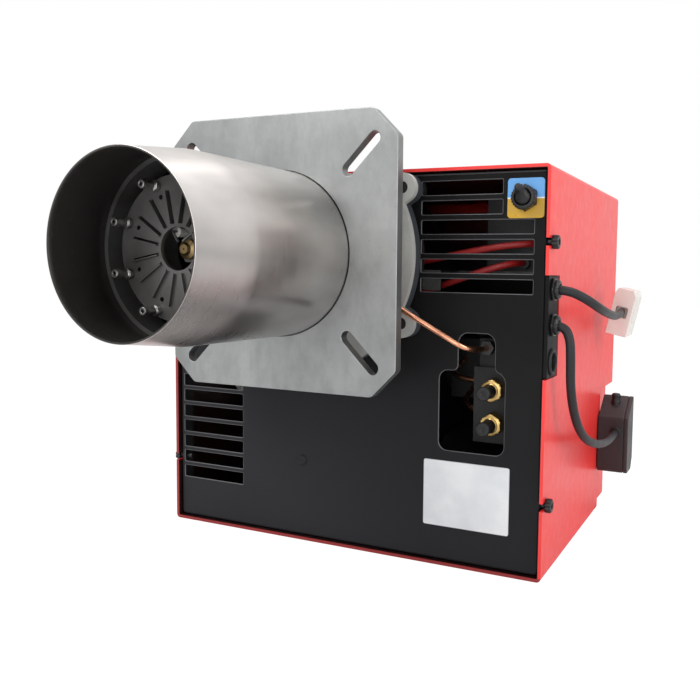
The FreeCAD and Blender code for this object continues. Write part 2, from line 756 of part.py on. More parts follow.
# selector switch
switchX = panelRight - 18.2
switchZ = panelUp - 23.5
switchBody = newBody()
pad(switchBody, sketchOn(switchBody, "XZ_Plane", panelFront - 1.4,
    [roundedBox(switchX - 16.25, switchX + 16.25, switchZ - 16.75, switchZ + 16.75, 3)],
    [(switchX, switchZ, 7.6)]), 1.4)
publish("switch_plate", switchBody)
publish("switch_body", cut(
    fuse(rod(12, 10.6, (switchX, panelFront - 12, switchZ), "y"),
         rod(7.6, 4, (switchX, panelFront - 1.4, switchZ), "y"),
         block((switchX - 13, switchX + 13), (panelBack, panelBack + 26), (switchZ - 12.5, switchZ + 12.5))),
    rod(7.3, 10.3, (switchX, panelFront - 12, switchZ), "y"),
    rod(1.8, 18.6, (switchX - 9.3, panelFront - 9, switchZ), "x"),
    cone(8.7, 7, 2.5, (switchX, panelFront - 12, switchZ), "y"),
    *[rod(0.9, 12, (switchX + 12.2 * math.cos(math.radians(15 * index)), panelFront - 13,
                    switchZ + 12.2 * math.sin(math.radians(15 * index))), "y") for index in range(24)]
))
lean = (0, -math.cos(math.radians(25)), math.sin(math.radians(25)))
publish("switch_lever", fuse(
    ball(7, (switchX, panelFront - 9, switchZ)),
    rod(1.6, 18, (switchX - 9, panelFront - 9, switchZ), "x"),
    cone(5.4, 3.2, 15, (switchX, panelFront - 9, switchZ), lean),
    ball(3.2, (switchX, panelFront - 9 + 15 * lean[1], switchZ + 15 * lean[2])),
))


# hood
def hoodForm(inset, front, corner, rearCorner):
    body = newBody()
    left = hoodLeft + inset
    right = hoodRight - inset
    top = hoodTop - inset
    bottom = hoodBottom + inset
    rear = hoodBack - inset
    box = [(left, bottom), (right, bottom), (right, top), (left, top)]
    made = pad(body, sketchOn(body, "XZ_Plane", front, [box]), rear - front)
    level = -hoodStep + inset
    fore = hoodBack - hoodStepReach - inset
    lowRear = rear - hoodStepBack
    around = [
        (left - 5, fore), (left + hoodStepIn, fore), (left + hoodStepIn, lowRear), (right - hoodStepIn, lowRear),
        (right - hoodStepIn, fore), (right + 5, fore), (right + 5, rear + 5), (left - 5, rear + 5),
    ]
    made = pocket(body, sketchOn(body, "XY_Plane", bottom - 5, [around]), level - bottom + 5)
    backs = (number(rear), number(lowRear))

    def rearEdge(edge):
        box = edge.BoundBox
        if box.YLength > 0.01:
            return False
        upper = abs(box.YMax - backs[0]) < 0.01 and box.ZMin > number(level) - 0.01
        lower = abs(box.YMax - backs[1]) < 0.01 and box.ZMax < number(level) + 0.01
        flat = box.ZLength < 0.01 and abs(box.ZMax - number(level)) < 0.01
        return (upper or lower) and not flat

    made = rounded(body, made, rearCorner, rearEdge)

    def longEdge(edge):
        box = edge.BoundBox
        if box.YLength < 20:
            return False
        atTop = abs(box.ZMin - number(top)) < 0.01
        atBottom = abs(box.ZMax - number(bottom)) < 0.01
        return (atTop or atBottom) and box.XLength < 0.01

    rounded(body, made, corner, longEdge)
    return body


screwY = panelFront + 6
screwZs = (panelUp - 60, panelDown + 61.8)
notchTop = panelUp - 88
notchLow = panelUp - 176.3


def hood():
    slots = []
    for level in screwZs:
        for side in (hoodLeft - 1, hoodRight - hoodWall - 1):
            slots.append(rod(3.4, hoodWall + 2, (side, screwY, level), "x"))
            slots.append(block((side, side + hoodWall + 2), (hoodFront - 1, screwY), (level - 3.4, level + 3.4)))
    return cut(
        hoodForm(0, hoodFront, hoodCorner, hoodRearCorner),
        hoodForm(hoodWall, hoodFront - 5, 1.5, 9),
        block((hoodRight - hoodWall - 1, hoodRight + 1), (hoodFront - 1, hoodFront + 37), (notchLow, notchTop)),
        rod(10, hoodWall + 4, (-105, hoodBack - hoodWall - 2, 31), "y"),
        *slots
    )


publish("hood", hood())
screws = []
for level in screwZs:
    for side in (-1, 1):
        face = hoodRight + 0.2 if side > 0 else hoodLeft - 0.2
        way = "x" if side > 0 else "-x"
        head = rod(6.25, 5.8, (face, screwY, level), way)
        shank = rod(2.9, 14, (face - 13.9 if side > 0 else face + 13.9, screwY, level), way)
        marks = []
        for index in range(8):
            turn = math.radians(45 * index + 22.5)
            spot = (face - 1 if side > 0 else face + 1, screwY + 7.1 * math.cos(turn), level + 7.1 * math.sin(turn))
            marks.append(rod(1.6, 9, spot, way))
        marks.append(hexagon(asSize(5), 3.5, (face + 2.9 if side > 0 else face - 2.9, screwY, level), way))
        screws.append(cut(fuse(head, shank), *marks))
publish("hood_screws", group(*screws))

# gland strip with two glands and an open grommet
stripOut = panelRight + 3.3
glandY = panelFront + 15
glandZs = (panelUp - 100, panelUp - 130.5)
grommetZ = panelUp - 162.5
publish("gland_strip", cut(
    block((panelRight, stripOut), (panelFront, hoodFront + 36.5), (notchLow + 0.5, notchTop - 0.5)),
    rod(6.2, 10, (panelRight - 3, glandY, glandZs[0]), "x"),
    rod(6.2, 10, (panelRight - 3, glandY, glandZs[1]), "x"),
    rod(9.9, 10, (panelRight - 3, glandY + 1, grommetZ), "x"),
))
glands = []
for level in glandZs:
    outer = fuse(
        hexagon(asSize(19), 2.5, (stripOut, glandY, level), "x"),
        rod(8.6, 2.4, (stripOut + 2.5, glandY, level), "x"),
        cone(8.6, 6.4, 1.4, (stripOut + 4.9, glandY, level), "x"),
        rod(6, 9, (stripOut - 8.5, glandY, level), "x"),
        hexagon(asSize(16), 3, (panelRight - 3, glandY, level), "x"),
    )
    mouth = cone(4.3, 5.4, 3, (stripOut + 3.4, glandY, level), "x")
    glands.append(cut(outer, rod(4.3, 30, (stripOut - 15, glandY, level), "x"), mouth))
publish("cable_glands", group(*glands))
grommet = fuse(
    rod(12, 2.2, (stripOut, glandY + 1, grommetZ), "x"),
    rod(9.9, 6, (stripOut - 4.5, glandY + 1, grommetZ), "x"),
    rod(10.8, 1.6, (panelRight - 1.6, glandY + 1, grommetZ), "x"),
)
publish("grommet", cut(grommet, rod(8.2, 20, (stripOut - 12, glandY + 1, grommetZ), "x")))

# cables and their plugs
cableRadius = size("cableRadius", 4, "mains and valve cable")


def shifted(points, right, level):
    return [(right + x, y, level + z) for x, y, z in points]


mainsPath = [
    (-1.4, 79, -100), (15.3, 79, -100), (29.8, 84, -107), (37.8, 97, -114.5), (40.3, 124, -120.5),
    (38.8, 160, -124.5), (36.3, 199, -127), (33.3, 240, -124.7),
]
valvePath = [
    (0.6, 79, -130.5), (12.8, 79, -130.5), (19.3, 78, -141), (20.3, 77.5, -159), (19.8, 81.5, -185),
    (21.8, 93, -213), (24.8, 116, -234), (27.3, 150, -246), (27.8, 190, -254), (26.3, 235, -259),
    (24.3, 278, -259.5),
]
publish("cable_mains", bent(shifted(mainsPath, panelRight, panelUp), cableRadius, "mains cable"))
publish("cable_valve", bent(shifted(valvePath, panelRight, panelUp), cableRadius, "valve cable"))


def whitePlug():
    tilt = 12.3
    middle = (panelRight + 32.6, 240, panelUp - 125.1)
    wide = 22
    high = 49
    body = newBody(middle)
    # the plug is built upright and rolled with its cable
    body.Placement = FreeCAD.Placement(V(0, 0, 0), Turn(V(0, 1, 0), tilt))
    place(body, middle)
    outline = [
        (-wide / 2, -high / 2), (wide / 2, -high / 2), (wide / 2, high / 2 - 6), (wide / 2 - 3, high / 2),
        (3 - wide / 2, high / 2), (-wide / 2, high / 2 - 6),
    ]
    pad(body, sketchOn(body, "XZ_Plane", 0, [outline]), 40)
    # latch ribs on both flanks and four pin wells at the back
    for side in (-1, 1):
        rib = [(side * 11.2 - 0.8, -8), (side * 11.2 + 0.8, -8), (side * 11.2 + 0.8, 8), (side * 11.2 - 0.8, 8)]
        pad(body, sketchOn(body, "XZ_Plane", 8, [rib]), 26)
    wells = [(0, 16.5 - 11 * index, 3.2) for index in range(4)]
    pocket(body, sketchOn(body, "XZ_Plane", 26, (), wells), 14)
    groove = [(-11.1, -6.5), (-9.2, -6.5), (-9.2, 6.5), (-11.1, 6.5)]
    pocket(body, sketchOn(body, "XZ_Plane", 0, [groove]), 8)
    return body


publish("plug_white", whitePlug())


def blackPlug():
    left = panelRight + 4.8
    body = newBody((left, 0, panelUp))
    side = [(282, -305), (304, -305), (312, -293), (312, -223), (308, -223), (278, -244), (278, -301)]
    made = pad(body, sketchOn(body, "YZ_Plane", 0, [side]), 33)
    rounded(body, made, 2.5, lambda edge: edge.BoundBox.ZLength > 30 and edge.BoundBox.XLength < 0.1)
    stub = body.newObject("PartDesign::Pad", nextName("Pad"))
    stub.Profile = sketchOn(body, "XY_Plane", -236, (), [(15.3, 299, 6)])
    bind(stub, "Length", asSize(24))
    finished(body, stub)
    return body


publish("plug_black", blackPlug())


# fan housing: scroll by four arcs, outlet duct, inlet bell
def scroll(body, wall, start, length, cutAway):
    half = spiralStep / 2
    last = ductHeight / 2 + fanDown - half + wall
    radii = [last - spiralStep * 3, last - spiralStep * 2, last - spiralStep, last]
    low = -half
    tongueZ = fanDown - ductHeight / 2 - wall
    across = root(radii[0] * radii[0] - (tongueZ + half) * (tongueZ + half))
    mouth = ductBack - fanBack
    corners = [
        (low - across, tongueZ, radii[0]), (low - radii[0], low, radii[1]), (half, low - radii[1], radii[2]),
        (half + radii[2], half, radii[3]), (low, half + radii[3]), (mouth, half + radii[3]), (mouth, tongueZ),
    ]
    drawn = sketchOn(body, "YZ_Plane", start, [corners])
    if cutAway:
        return pocket(body, drawn, length)
    return pad(body, drawn, length)


def fanHousing():
    body = newBody(fan)
    scroll(body, housingWall, -houseSide, housingWidth, False)
    scroll(body, asSize(0), housingWall - houseSide, housingWidth - housingWall * 2, True)
    pocket(body, sketchOn(body, "YZ_Plane", -houseSide - 1, (), [(0, 0, 84)]), housingWall + 2)
    pocket(body, sketchOn(body, "YZ_Plane", houseSide - housingWall - 1, (), [(0, 0, 52)]), housingWall + 2)
    pad(body, sketchOn(body, "YZ_Plane", houseSide - housingWall - 10, (), [(0, 0, 52), (0, 0, 55)]), 12)
    inner = housingWidth / 2 - housingWall
    opening = block((-inner, inner), (ductStart - 1, ductBack + 1), (ductHeight / -2, ductHeight / 2))
    # the flange stays under the bent-back top edge of the front sheet
    above = block((-150, 150), (ductStart - 1, ductBack + 1), (panelUp - sheetThick - seat, panelUp + 60))
    flange = cut(earedDisc(ductStart, ductBack), opening, above, *earHoles(ductStart, ductBack, earHole))
    return cut(
        fuse(body, flange),
        rod(4, 20, (houseSide - 10, 97.5, -10.5), "x"),
        rod(4, 20, (houseSide - 10, 97.5, -43.3), "x"),
        rod(6, 20, (-houseSide - 10, 95, 30), "x"),
    )


publish("fan_housing", fanHousing())


# fan wheel with forward-curved blades
def fanWheel():
    body = newBody(fan)
    left = fanWidth / -2
    revolved(body, sketchOn(body, "XY_Plane", 0, [[
        (left, shaftRadius), (left, fanRadius), (left + fanPlate, fanRadius), (left + fanPlate, 16),
        (left + fanPlate + 4, 13), (left + 26, 13), (left + 26, shaftRadius),
    ]]), "H_Axis")
    inner = fanInner + 0.4
    outer = fanRadius - 0.4
    rootSpot = polar(inner, 0)
    tipSpot = polar(outer, 9)
    rootNext = polar(inner, 1.1)
    tipNext = polar(outer, 9.9)
    blade = [
        (rootSpot[0], rootSpot[1], bladeCurve), (tipSpot[0], tipSpot[1]),
        (tipNext[0], tipNext[1], bladeThick - bladeCurve), (rootNext[0], rootNext[1]),
    ]
    drawn = sketchOn(body, "YZ_Plane", left + fanPlate - 0.5, [blade])
    made = pad(body, drawn, fanWidth - fanPlate * 2 + 1)
    aroundAxis(body, drawn, [made], 28)
    pad(body, sketchOn(body, "YZ_Plane", fanWidth / 2 - fanPlate, (), [(0, 0, fanInner), (0, 0, fanRadius)]), fanPlate)
    return body


publish("fan_wheel", fanWheel())

# motor
publish("motor_plate", cut(
    fuse(rod(95, 6, (-houseSide - 6, fanBack, -fanDown), "x"), rod(84 - seat, 4, (-houseSide, fanBack, -fanDown), "x")),
    rod(shaftRadius + running, 20, (-houseSide - 10, fanBack, -fanDown), "x"),
))


def motorBody():
    body = newBody((0, fanBack, -fanDown))
    start = -houseSide - 105
    pad(body, sketchOn(body, "YZ_Plane", start, (), [(0, 0, motorRadius), (0, 0, shaftRadius + running)]), 99)
    fin = [(motorRadius - 1, -1.2), (motorRadius + 5, -1.2), (motorRadius + 5, 1.2), (motorRadius - 1, 1.2)]
    drawn = sketchOn(body, "YZ_Plane", start + 6, [fin])
    made = pad(body, drawn, 86)
    aroundAxis(body, drawn, [made], 24)
    return body


publish("motor_body", motorBody())
publish("motor_end_cap", fuse(rod(60, 6, (-houseSide - 105, fanBack, -fanDown), "-x"),
                              cone(60, 46, 5, (-houseSide - 111, fanBack, -fanDown), "-x")))
publish("motor_shaft", rod(shaftRadius, 206, (-houseSide - 103, fanBack, -fanDown), "x"))
capZ = motorRadius + 5 - fanDown
publish("capacitor", fuse(rod(17, 60, (-houseSide - 90, fanBack, capZ + 20), "x"),
                          block((-houseSide - 72, -houseSide - 48), (fanBack - 9, fanBack + 9), (capZ, capZ + 6))))
publish("pump_coupling", fuse(
    cut(rod(11, 46, (44, fanBack, -fanDown), "x"), rod(shaftRadius, 15, (43, fanBack, -fanDown), "x")),
    rod(5, 16, (90, fanBack, -fanDown), "x"),
))

# air inlet box, damper and servomotor
boxRight = houseSide + boxDeep
publish("inlet_box", cut(
    block((houseSide, boxRight), (120, 280), (-damperPlace - 14, -40)),
    block((houseSide - 1, boxRight - 4), (124, 276), (-damperPlace - 10, -44)),
    block((houseSide + 4, boxRight - 4), (124, 276), (-damperPlace - 15, -damperPlace - 9)),
    rod(14, 10, (boxRight - 6, fanBack, -fanDown), "x"),
    rod(4 + running, 180, (houseSide + 25, 110, -damperPlace), "y"),
))
publish("air_damper", fuse(
    block((houseSide + 5, houseSide + 45), (124.6, 275.4), (-damperPlace - 0.8, -damperPlace + 0.8)),
    rod(4, 172, (houseSide + 25, 112, -damperPlace), "y"),
))
publish("servomotor", cut(
    fuse(block((houseSide + 2, houseSide + 48), (84, 120), (-damperPlace - 37, -damperPlace + 18)),
         block((houseSide + 8, houseSide + 42), (81.5, 84), (-damperPlace - 31, -damperPlace + 12))),
    rod(4.3, 12, (houseSide + 25, 111, -damperPlace), "y"),
))

# oil pump, oil block, pipes
publish("oil_pump", cut(
    fuse(rod(27, 8, (boxRight, fanBack, -fanDown), "x"), block((boxRight + 8, boxRight + 50), (155, 215), (-140, -80)),
         rod(22, 6, (boxRight + 50, fanBack, -fanDown), "x"), rod(7, 8, (boxRight + 30, fanBack, -80), "z")),
    rod(5 + running, 20, (boxRight - 1, fanBack, -fanDown), "x"),
))
hoseX = hoodRight - size("hoseAside", 56.5, "hose nipples from the hood's right side")
hoseHigh = size("hoseHigh", 119.5, "upper hose nipple below the tube axis")
hoseLow = size("hoseLow", 151, "lower hose nipple below the tube axis")
blockFront = size("oilBlockFront", 96, "front face of the oil block")
pipeZ = -82
publish("oil_manifold", fuse(
    block((hoseX - 21.5, hoseX + 21.5), (blockFront, blockFront + 30), (-170, -100)),
    block((hoseX - 17.5, hoseX + 0.5), (blockFront + 4, blockFront + 30), (-101, -74)),
    block((hoseX + 21, hoseX + 26), (panelBack, blockFront + 30), (-168, -158)),
    block((hoseX + 21, hoseX + 26), (panelBack, blockFront + 30), (-112, -102)),
    block((hoseX + 21, hoseX + 34), (panelBack, panelBack + 3), (-168, -158)),
    block((hoseX + 21, hoseX + 34), (panelBack, panelBack + 3), (-112, -102)),
))
coils = []
nipples = []
for level in (-hoseHigh, -hoseLow):
    coils.append(fuse(block((hoseX - 14, hoseX + 14), (blockFront + 32, blockFront + 64), (level - 13.5, level + 13.5)),
                      rod(6, 40, (hoseX, blockFront + 30, level), "y")))
    nipples.append(fuse(
        hexagon(asSize(19), 14, (hoseX, blockFront - 14, level), "y"),
        rod(5.6, 20, (hoseX, blockFront - 31, level), "y"),
        cone(4.6, 5.6, 1.5, (hoseX, blockFront - 32.5, level), "y"),
    ))
publish("solenoid_coils", group(*coils))
publish("hose_nipples", group(*nipples))
for label, level in (("nipple_cap_upper", -hoseHigh), ("nipple_cap_lower", -hoseLow)):
    publish(label, cut(
        fuse(rod(6.5, 17, (hoseX, blockFront - 34, level), "y"), cone(5.5, 6.5, 1, (hoseX, blockFront - 35, level), "y")),
        rod(5.7, 18, (hoseX, blockFront - 32.6, level), "y"),
    ))
pipeStart = radial(armReach + 9, armPlace, armTurn)
pipeRadius = size("pipeRadius", 2.5, "copper oil pipe")
publish("copper_pipe", bent([
    pipeStart, (97, 38.6, -44), (hoseX - 13, 50, -79.5), (hoseX - 8.5, 72, pipeZ), (hoseX - 8.5, blockFront - 4, pipeZ - 0.4),
], pipeRadius, "copper pipe"))
publish("pipe_unions", group(
    cut(hexagon(asSize(14), 9, radial(armReach, armPlace, armTurn), ray),
        rod(2.5, 14, radial(armReach - 2, armPlace, armTurn), ray)),
    hexagon(asSize(12), 8, (hoseX - 8.5, blockFront - 4, pipeZ), "y"),
))
pumpFace = block((boxRight, boxRight + 60), (155, 170), (-160, -70))
blockFace = block((hoseX - 21.5, hoseX), (90, 130), (-170, -90))
publish("pump_pipes", group(
    cut(bent([(boxRight + 23, 156.5, -99.6), (boxRight + 23, 113, -112), (hoseX - 20, 111, -116)], 2.5, "pump pipe"),
        pumpFace, blockFace),
    cut(bent([(boxRight + 37, 157, -121.2), (boxRight + 36, 118, -138), (hoseX - 20, 111, -146)], 2.5, "pump pipe"),
        pumpFace, blockFace),
))

# shelves and electrical pieces
publish("right_shelf", fuse(
    block((houseSide, hoodRight - 12), (110, 218), (-14, -12)),
    block((houseSide, houseSide + 2), (110, 218), (-34, -12)),
    block((110, 128), (panelBack, 112), (-14, -12)),
    block((110, 128), (panelBack, panelBack + 2), (-30, -12)),
))
publish("left_shelf", fuse(
    block((hoodLeft + 12, -houseSide), (100, 340), (0, 2)),
    block((-houseSide - 2, -houseSide), (110, 284), (0, 14)),
    block((-136, -110), (panelBack, 102), (0, 2)),
    block((-136, -110), (panelBack, panelBack + 2), (-16, 2)),
))
publish("ignition_transformer", fuse(
    block((hoodRight - 78, hoodRight - 13), (125, 215), (-12, 55)),
    rod(5.5, 8, (hoodRight - 22, 117, 13.5), "y"),
    rod(5.5, 8, (hoodRight - 40, 117, -4), "y"),
))
leadRadius = size("leadRadius", 3, "ignition lead")
publish("ignition_lead_a", bent([
    (hoodRight - 22, 117, 13.5), (hoodRight - 23, 106, 13.2), (hoodRight - 32, 97, 12.5),
    (hoodRight - 54, 94.2, 10.5), (141, 95, 5), (100, 97, -3),
    (66, 97.2, -10), (31, 97, -10.8), (18.5, 76, 0), (13, 50, 11), (12.5, 14, 16), (11, -20, 15), (10, -50, 13),
], leadRadius, "ignition lead"))
publish("ignition_lead_b", bent([
    (hoodRight - 40, 117, -4), (hoodRight - 41, 106, -4.4), (hoodRight - 49.5, 97.5, -5.8),
    (hoodRight - 74, 94.5, -12.8), (126, 95, -23), (97, 96.5, -32),
    (64, 97.6, -42.8), (30, 97.2, -43.6), (13, 79, -26), (-7, 62, 4), (-14, 38, 16.5), (-12, 2, 17),
    (-11, -26, 15.5), (-10, -50, 13),
], leadRadius, "ignition lead"))
publish("control_box", cut(
    fuse(block((-150, -60), (200, 335), (2, 60)), block((-146, -64), (204, 331), (60, 63))),
    rod(8.3, 20, (-105, 320, 31), "y"),
))
publish("reset_button", rod(8, hoodBack + 4 - 324, (-105, 324, 31), "y"))
publish("flame_sensor", fuse(rod(13, 3, (-houseSide, 95, 30), "-x"), rod(9, 40, (-houseSide, 95, 30), "-x")))

doc.recompute()
os.makedirs("parts", exist_ok=True)
bad = []
for item in doc.Objects:
    if "Invalid" in item.State or "Error" in item.State:
        bad.append("%s %s" % (item.Name, item.State))
for label, item in nodes.items():
    if item.Shape.isNull() or not item.Shape.isValid() or not item.Shape.Solids:
        bad.append("%s has no valid solid" % label)
    else:
        print("%s %.1f mm3 %s" % (label, item.Shape.Volume, len(item.Shape.Solids)))
if bad:
    raise SystemExit("\n".join(bad))
for label, item in nodes.items():
    item.Shape.exportStep("parts/%s.step" % label)
print("%d nodes, %d sizes" % (len(nodes), len(rows)))
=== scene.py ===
import bmesh
import bpy
import json
import math
from mathutils import Matrix, Vector

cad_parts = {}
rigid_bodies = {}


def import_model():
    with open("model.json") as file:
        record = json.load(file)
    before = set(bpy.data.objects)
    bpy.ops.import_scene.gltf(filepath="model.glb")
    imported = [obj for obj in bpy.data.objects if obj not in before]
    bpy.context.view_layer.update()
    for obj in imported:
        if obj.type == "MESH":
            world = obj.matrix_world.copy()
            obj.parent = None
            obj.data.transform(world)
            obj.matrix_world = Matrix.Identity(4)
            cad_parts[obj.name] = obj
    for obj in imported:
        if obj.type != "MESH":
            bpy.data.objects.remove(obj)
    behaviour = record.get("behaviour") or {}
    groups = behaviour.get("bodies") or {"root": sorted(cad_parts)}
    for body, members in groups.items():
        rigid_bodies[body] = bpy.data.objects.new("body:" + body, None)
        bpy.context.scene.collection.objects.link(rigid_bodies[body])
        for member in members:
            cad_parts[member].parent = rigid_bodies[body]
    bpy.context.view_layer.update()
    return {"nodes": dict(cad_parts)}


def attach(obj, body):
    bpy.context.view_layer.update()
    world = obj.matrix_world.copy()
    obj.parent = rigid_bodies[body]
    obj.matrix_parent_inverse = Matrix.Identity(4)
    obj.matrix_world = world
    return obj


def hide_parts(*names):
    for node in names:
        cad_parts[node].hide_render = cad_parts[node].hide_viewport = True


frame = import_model()
scene = bpy.context.scene
nodes = frame["nodes"]
floorLevel = -0.2786  # underside of the hood

print("camera")
photoCamera = {
    "place": (0.3959, -0.5517, -0.0149),
    "ahead": (-0.39694, 0.91479, -0.07485), "aside": (0.91675, 0.39912, 0.01632),
    "lens": 38.744, "sensor": 36, "shift": (-0.1286, -0.0286), "nearest": 0.01,
}
ahead = Vector(photoCamera["ahead"]).normalized()
aside = Vector(photoCamera["aside"])
aside = (aside - ahead * aside.dot(ahead)).normalized()
above = aside.cross(ahead)
cameraData = bpy.data.cameras.new("camera")
cameraData.lens = photoCamera["lens"]
cameraData.sensor_width = photoCamera["sensor"]
cameraData.shift_x, cameraData.shift_y = photoCamera["shift"]
cameraData.clip_start = photoCamera["nearest"]
camera = bpy.data.objects.new("camera", cameraData)
turnedBy = Matrix((aside, above, -ahead)).transposed().to_4x4()
camera.matrix_world = Matrix.Translation(photoCamera["place"]) @ turnedBy
scene.collection.objects.link(camera)
scene.camera = camera
scene.view_settings.view_transform = "Standard"


class Wire:
    # one output of a node, so that sums on it add Math nodes
    def __init__(self, tree, node, output=0):
        self.tree = tree
        self.node = node
        self.socket = node.outputs[output]

    def out(self, output):
        return Wire(self.tree, self.node, output)

    def maths(self, operation, *values):
        return self.tree.add("ShaderNodeMath", {"operation": operation}, dict(enumerate(values)))

    def either(self, other):
        return self.maths("MAXIMUM", self, other)

    def __add__(self, other):
        return self.maths("ADD", self, other)

    def __radd__(self, other):
        return self.maths("ADD", other, self)

    def __sub__(self, other):
        return self.maths("SUBTRACT", self, other)

    def __rsub__(self, other):
        return self.maths("SUBTRACT", other, self)

    def __mul__(self, other):
        return self.maths("MULTIPLY", self, other)

    def __rmul__(self, other):
        return self.maths("MULTIPLY", other, self)

    def __gt__(self, other):
        return self.maths("GREATER_THAN", self, other)

    def __lt__(self, other):
        return self.maths("LESS_THAN", self, other)

    def __abs__(self):
        return self.maths("ABSOLUTE", self)


class Tree:
    # the nodes of a material or of the world, and the one way to add to them
    def __init__(self, holder):
        holder.use_nodes = True
        self.nodes = holder.node_tree.nodes
        self.links = holder.node_tree.links

    def add(self, kind, settings=None, sockets=None):
        node = self.nodes.new(kind)
        for label, value in (settings or {}).items():
            setattr(node, label, value)
        self.feed(node, sockets or {})
        return Wire(self, node)

    def feed(self, node, sockets):
        for label, value in sockets.items():
            if isinstance(value, Wire):
                self.links.new(value.socket, node.inputs[label])
            else:
                node.inputs[label].default_value = value


class Finish(Tree):
    # a material round its principled shader, whose own sockets are set by keywords
    def __init__(self, name, **fixed):
        self.material = bpy.data.materials.new(name)
        super().__init__(self.material)
        self.shader = self.nodes["Principled BSDF"]
        for label, value in fixed.items():
            self.shader.inputs[label.replace("_", " ")].default_value = value
        self.place = None
        self.parts = None

    def spot(self):
        if self.place is None:
            self.place = self.add("ShaderNodeTexCoord").out("Object")
        return self.place

    def axis(self, letter):
        if self.parts is None:
            self.parts = self.add("ShaderNodeSeparateXYZ", None, {0: self.spot()})
        return self.parts.out(letter)

    def inside(self, room):
        # 1 between the bounds that room gives for an axis, where None leaves that side open
        mask = None
        for letter, (low, high) in room.items():
            tests = []
            if low is not None:
                tests.append(self.axis(letter) > low)
            if high is not None:
                tests.append(self.axis(letter) < high)
            for test in tests:
                mask = test if mask is None else mask * test
        return mask

    def stretched(self, stretch, aside):
        sockets = {"Vector": self.spot(), "Scale": stretch, "Location": aside}
        return self.add("ShaderNodeMapping", None, sockets)

    def noise(self, scale, detail=4, stretch=(1, 1, 1), rough=0.5, aside=(0, 0, 0)):
        sockets = {"Scale": scale, "Detail": detail, "Roughness": rough}
        sockets["Vector"] = self.stretched(stretch, aside)
        return self.add("ShaderNodeTexNoise", None, sockets)

    def cells(self, scale):
        return self.add("ShaderNodeTexVoronoi", None, {"Vector": self.spot(), "Scale": scale}).out("Color")

    def between(self, wire, low, high, first=0.0, last=1.0):
        sockets = {0: wire, 1: low, 2: high, 3: first, 4: last}
        return self.add("ShaderNodeMapRange", {"clamp": True}, sockets)

    def mix(self, factor, first, second):
        wire = self.add("ShaderNodeMix", {"data_type": "RGBA"}, {0: factor, 6: first, 7: second})
        return wire.out(2)

    def bump(self, height, depth, strength=1.0):
        after = self.shader.inputs["Normal"]
        sockets = {"Height": height, "Distance": depth, "Strength": strength}
        if after.is_linked:
            sockets["Normal"] = Wire(self, after.links[0].from_node)
        self.join("Normal", self.add("ShaderNodeBump", None, sockets))

    def join(self, label, wire):
        self.links.new(wire.socket, self.shader.inputs[label])

    def done(self, base, wear, low, high, smooth, dull):
        # joins the colour and a roughness that follows wear, and gives the material
        self.join("Base Color", base)
        self.join("Roughness", self.between(wear, low, high, smooth, dull))
        return self.material


def tone(colour, part=1.0, lift=0.0):
    return tuple(min(1.0, value * part + lift) for value in colour) + (1,)


def galvanised(name, colour, rough):
    # zinc plate: soft clouds, faint spangle, handled blotches, a few dark specks
    finish = Finish(name, Metallic=1.0)
    cloud = finish.noise(11, 5, (1, 1, 0.8), 0.6)
    spangle = finish.cells(170)
    rolled = finish.noise(46, 5, (1.6, 1, 0.8), 0.66)
    speck = finish.noise(420, 2)
    base = finish.mix(finish.between(cloud, 0.3, 0.72), tone(colour, 0.72), tone(colour, 1.16))
    base = finish.mix(finish.between(spangle, 0.0, 1.0, 0.0, 0.10), base, tone(colour, 1.35))
    base = finish.mix(finish.between(rolled, 0.45, 0.75, 0.0, 0.34), base, tone(colour, 0.55))
    base = finish.mix(finish.between(speck, 0.69, 0.76, 0.0, 0.5), base, tone(colour, 0.35))
    finish.bump(rolled, 0.00010, 0.3)
    finish.bump(speck, 0.00005, 0.3)
    return finish.done(base, cloud + rolled, 0.7, 1.3, rough - 0.07, rough + 0.13)


def tubeSteel(name, colour, rough):
    # drawn tube: broad light and dark clouds along the tube paint reflection bands into the colour, cloudy
    # heat tints, fine lines round the tube, small pits
    finish = Finish(name, Metallic=1.0)
    cloud = finish.noise(9, 4, (1, 0.45, 1), 0.55)
    tint = finish.noise(14, 3, (1, 0.5, 1), 0.5, (3, 1, 7))
    drawn = finish.noise(60, 4, (0.6, 9, 0.6), 0.55)
    pits = finish.noise(260, 3, (1, 0.5, 1), 0.6)
    # painted reflection: broad light and dark bands along the tube
    base = finish.mix(finish.between(cloud, 0.34, 0.68), tone(colour, 0.52), tone(colour, 1.18))
    straw = (colour[0] * 0.95, colour[1] * 0.84, colour[2] * 0.72, 1)
    base = finish.mix(finish.between(tint, 0.45, 0.75, 0.0, 0.35), base, straw)
    base = finish.mix(finish.between(drawn, 0.5, 0.78, 0.0, 0.07), base, tone(colour, 0.6))
    base = finish.mix(finish.between(pits, 0.66, 0.76, 0.0, 0.20), base, tone(colour, 0.4))
    return finish.done(base, cloud + drawn * 0.4, 0.50, 0.90, rough - 0.03, rough + 0.11)


def sooty(name, colour, soot, rough, metal=0.75):
    # steel inside the flame tube: dull, brown-black soot in clouds
    finish = Finish(name)
    cloud = finish.noise(16, 4, (1, 0.6, 1), 0.5)
    fine = finish.noise(260, 3)
    finish.join("Metallic", finish.between(cloud, 0.35, 0.7, metal, metal * 0.55))
    sootBlack = (0.020, 0.018, 0.016, 1)
    scorched = (0.11, 0.08, 0.055, 1)
    base = finish.mix(finish.between(cloud, 0.3, 0.7, 1 - soot, 1.0), tone(colour), sootBlack)
    base = finish.mix(finish.between(fine, 0.6, 0.75, 0.0, 0.35), base, scorched)
    return finish.done(base, cloud, 0.3, 0.7, rough, rough + 0.2)


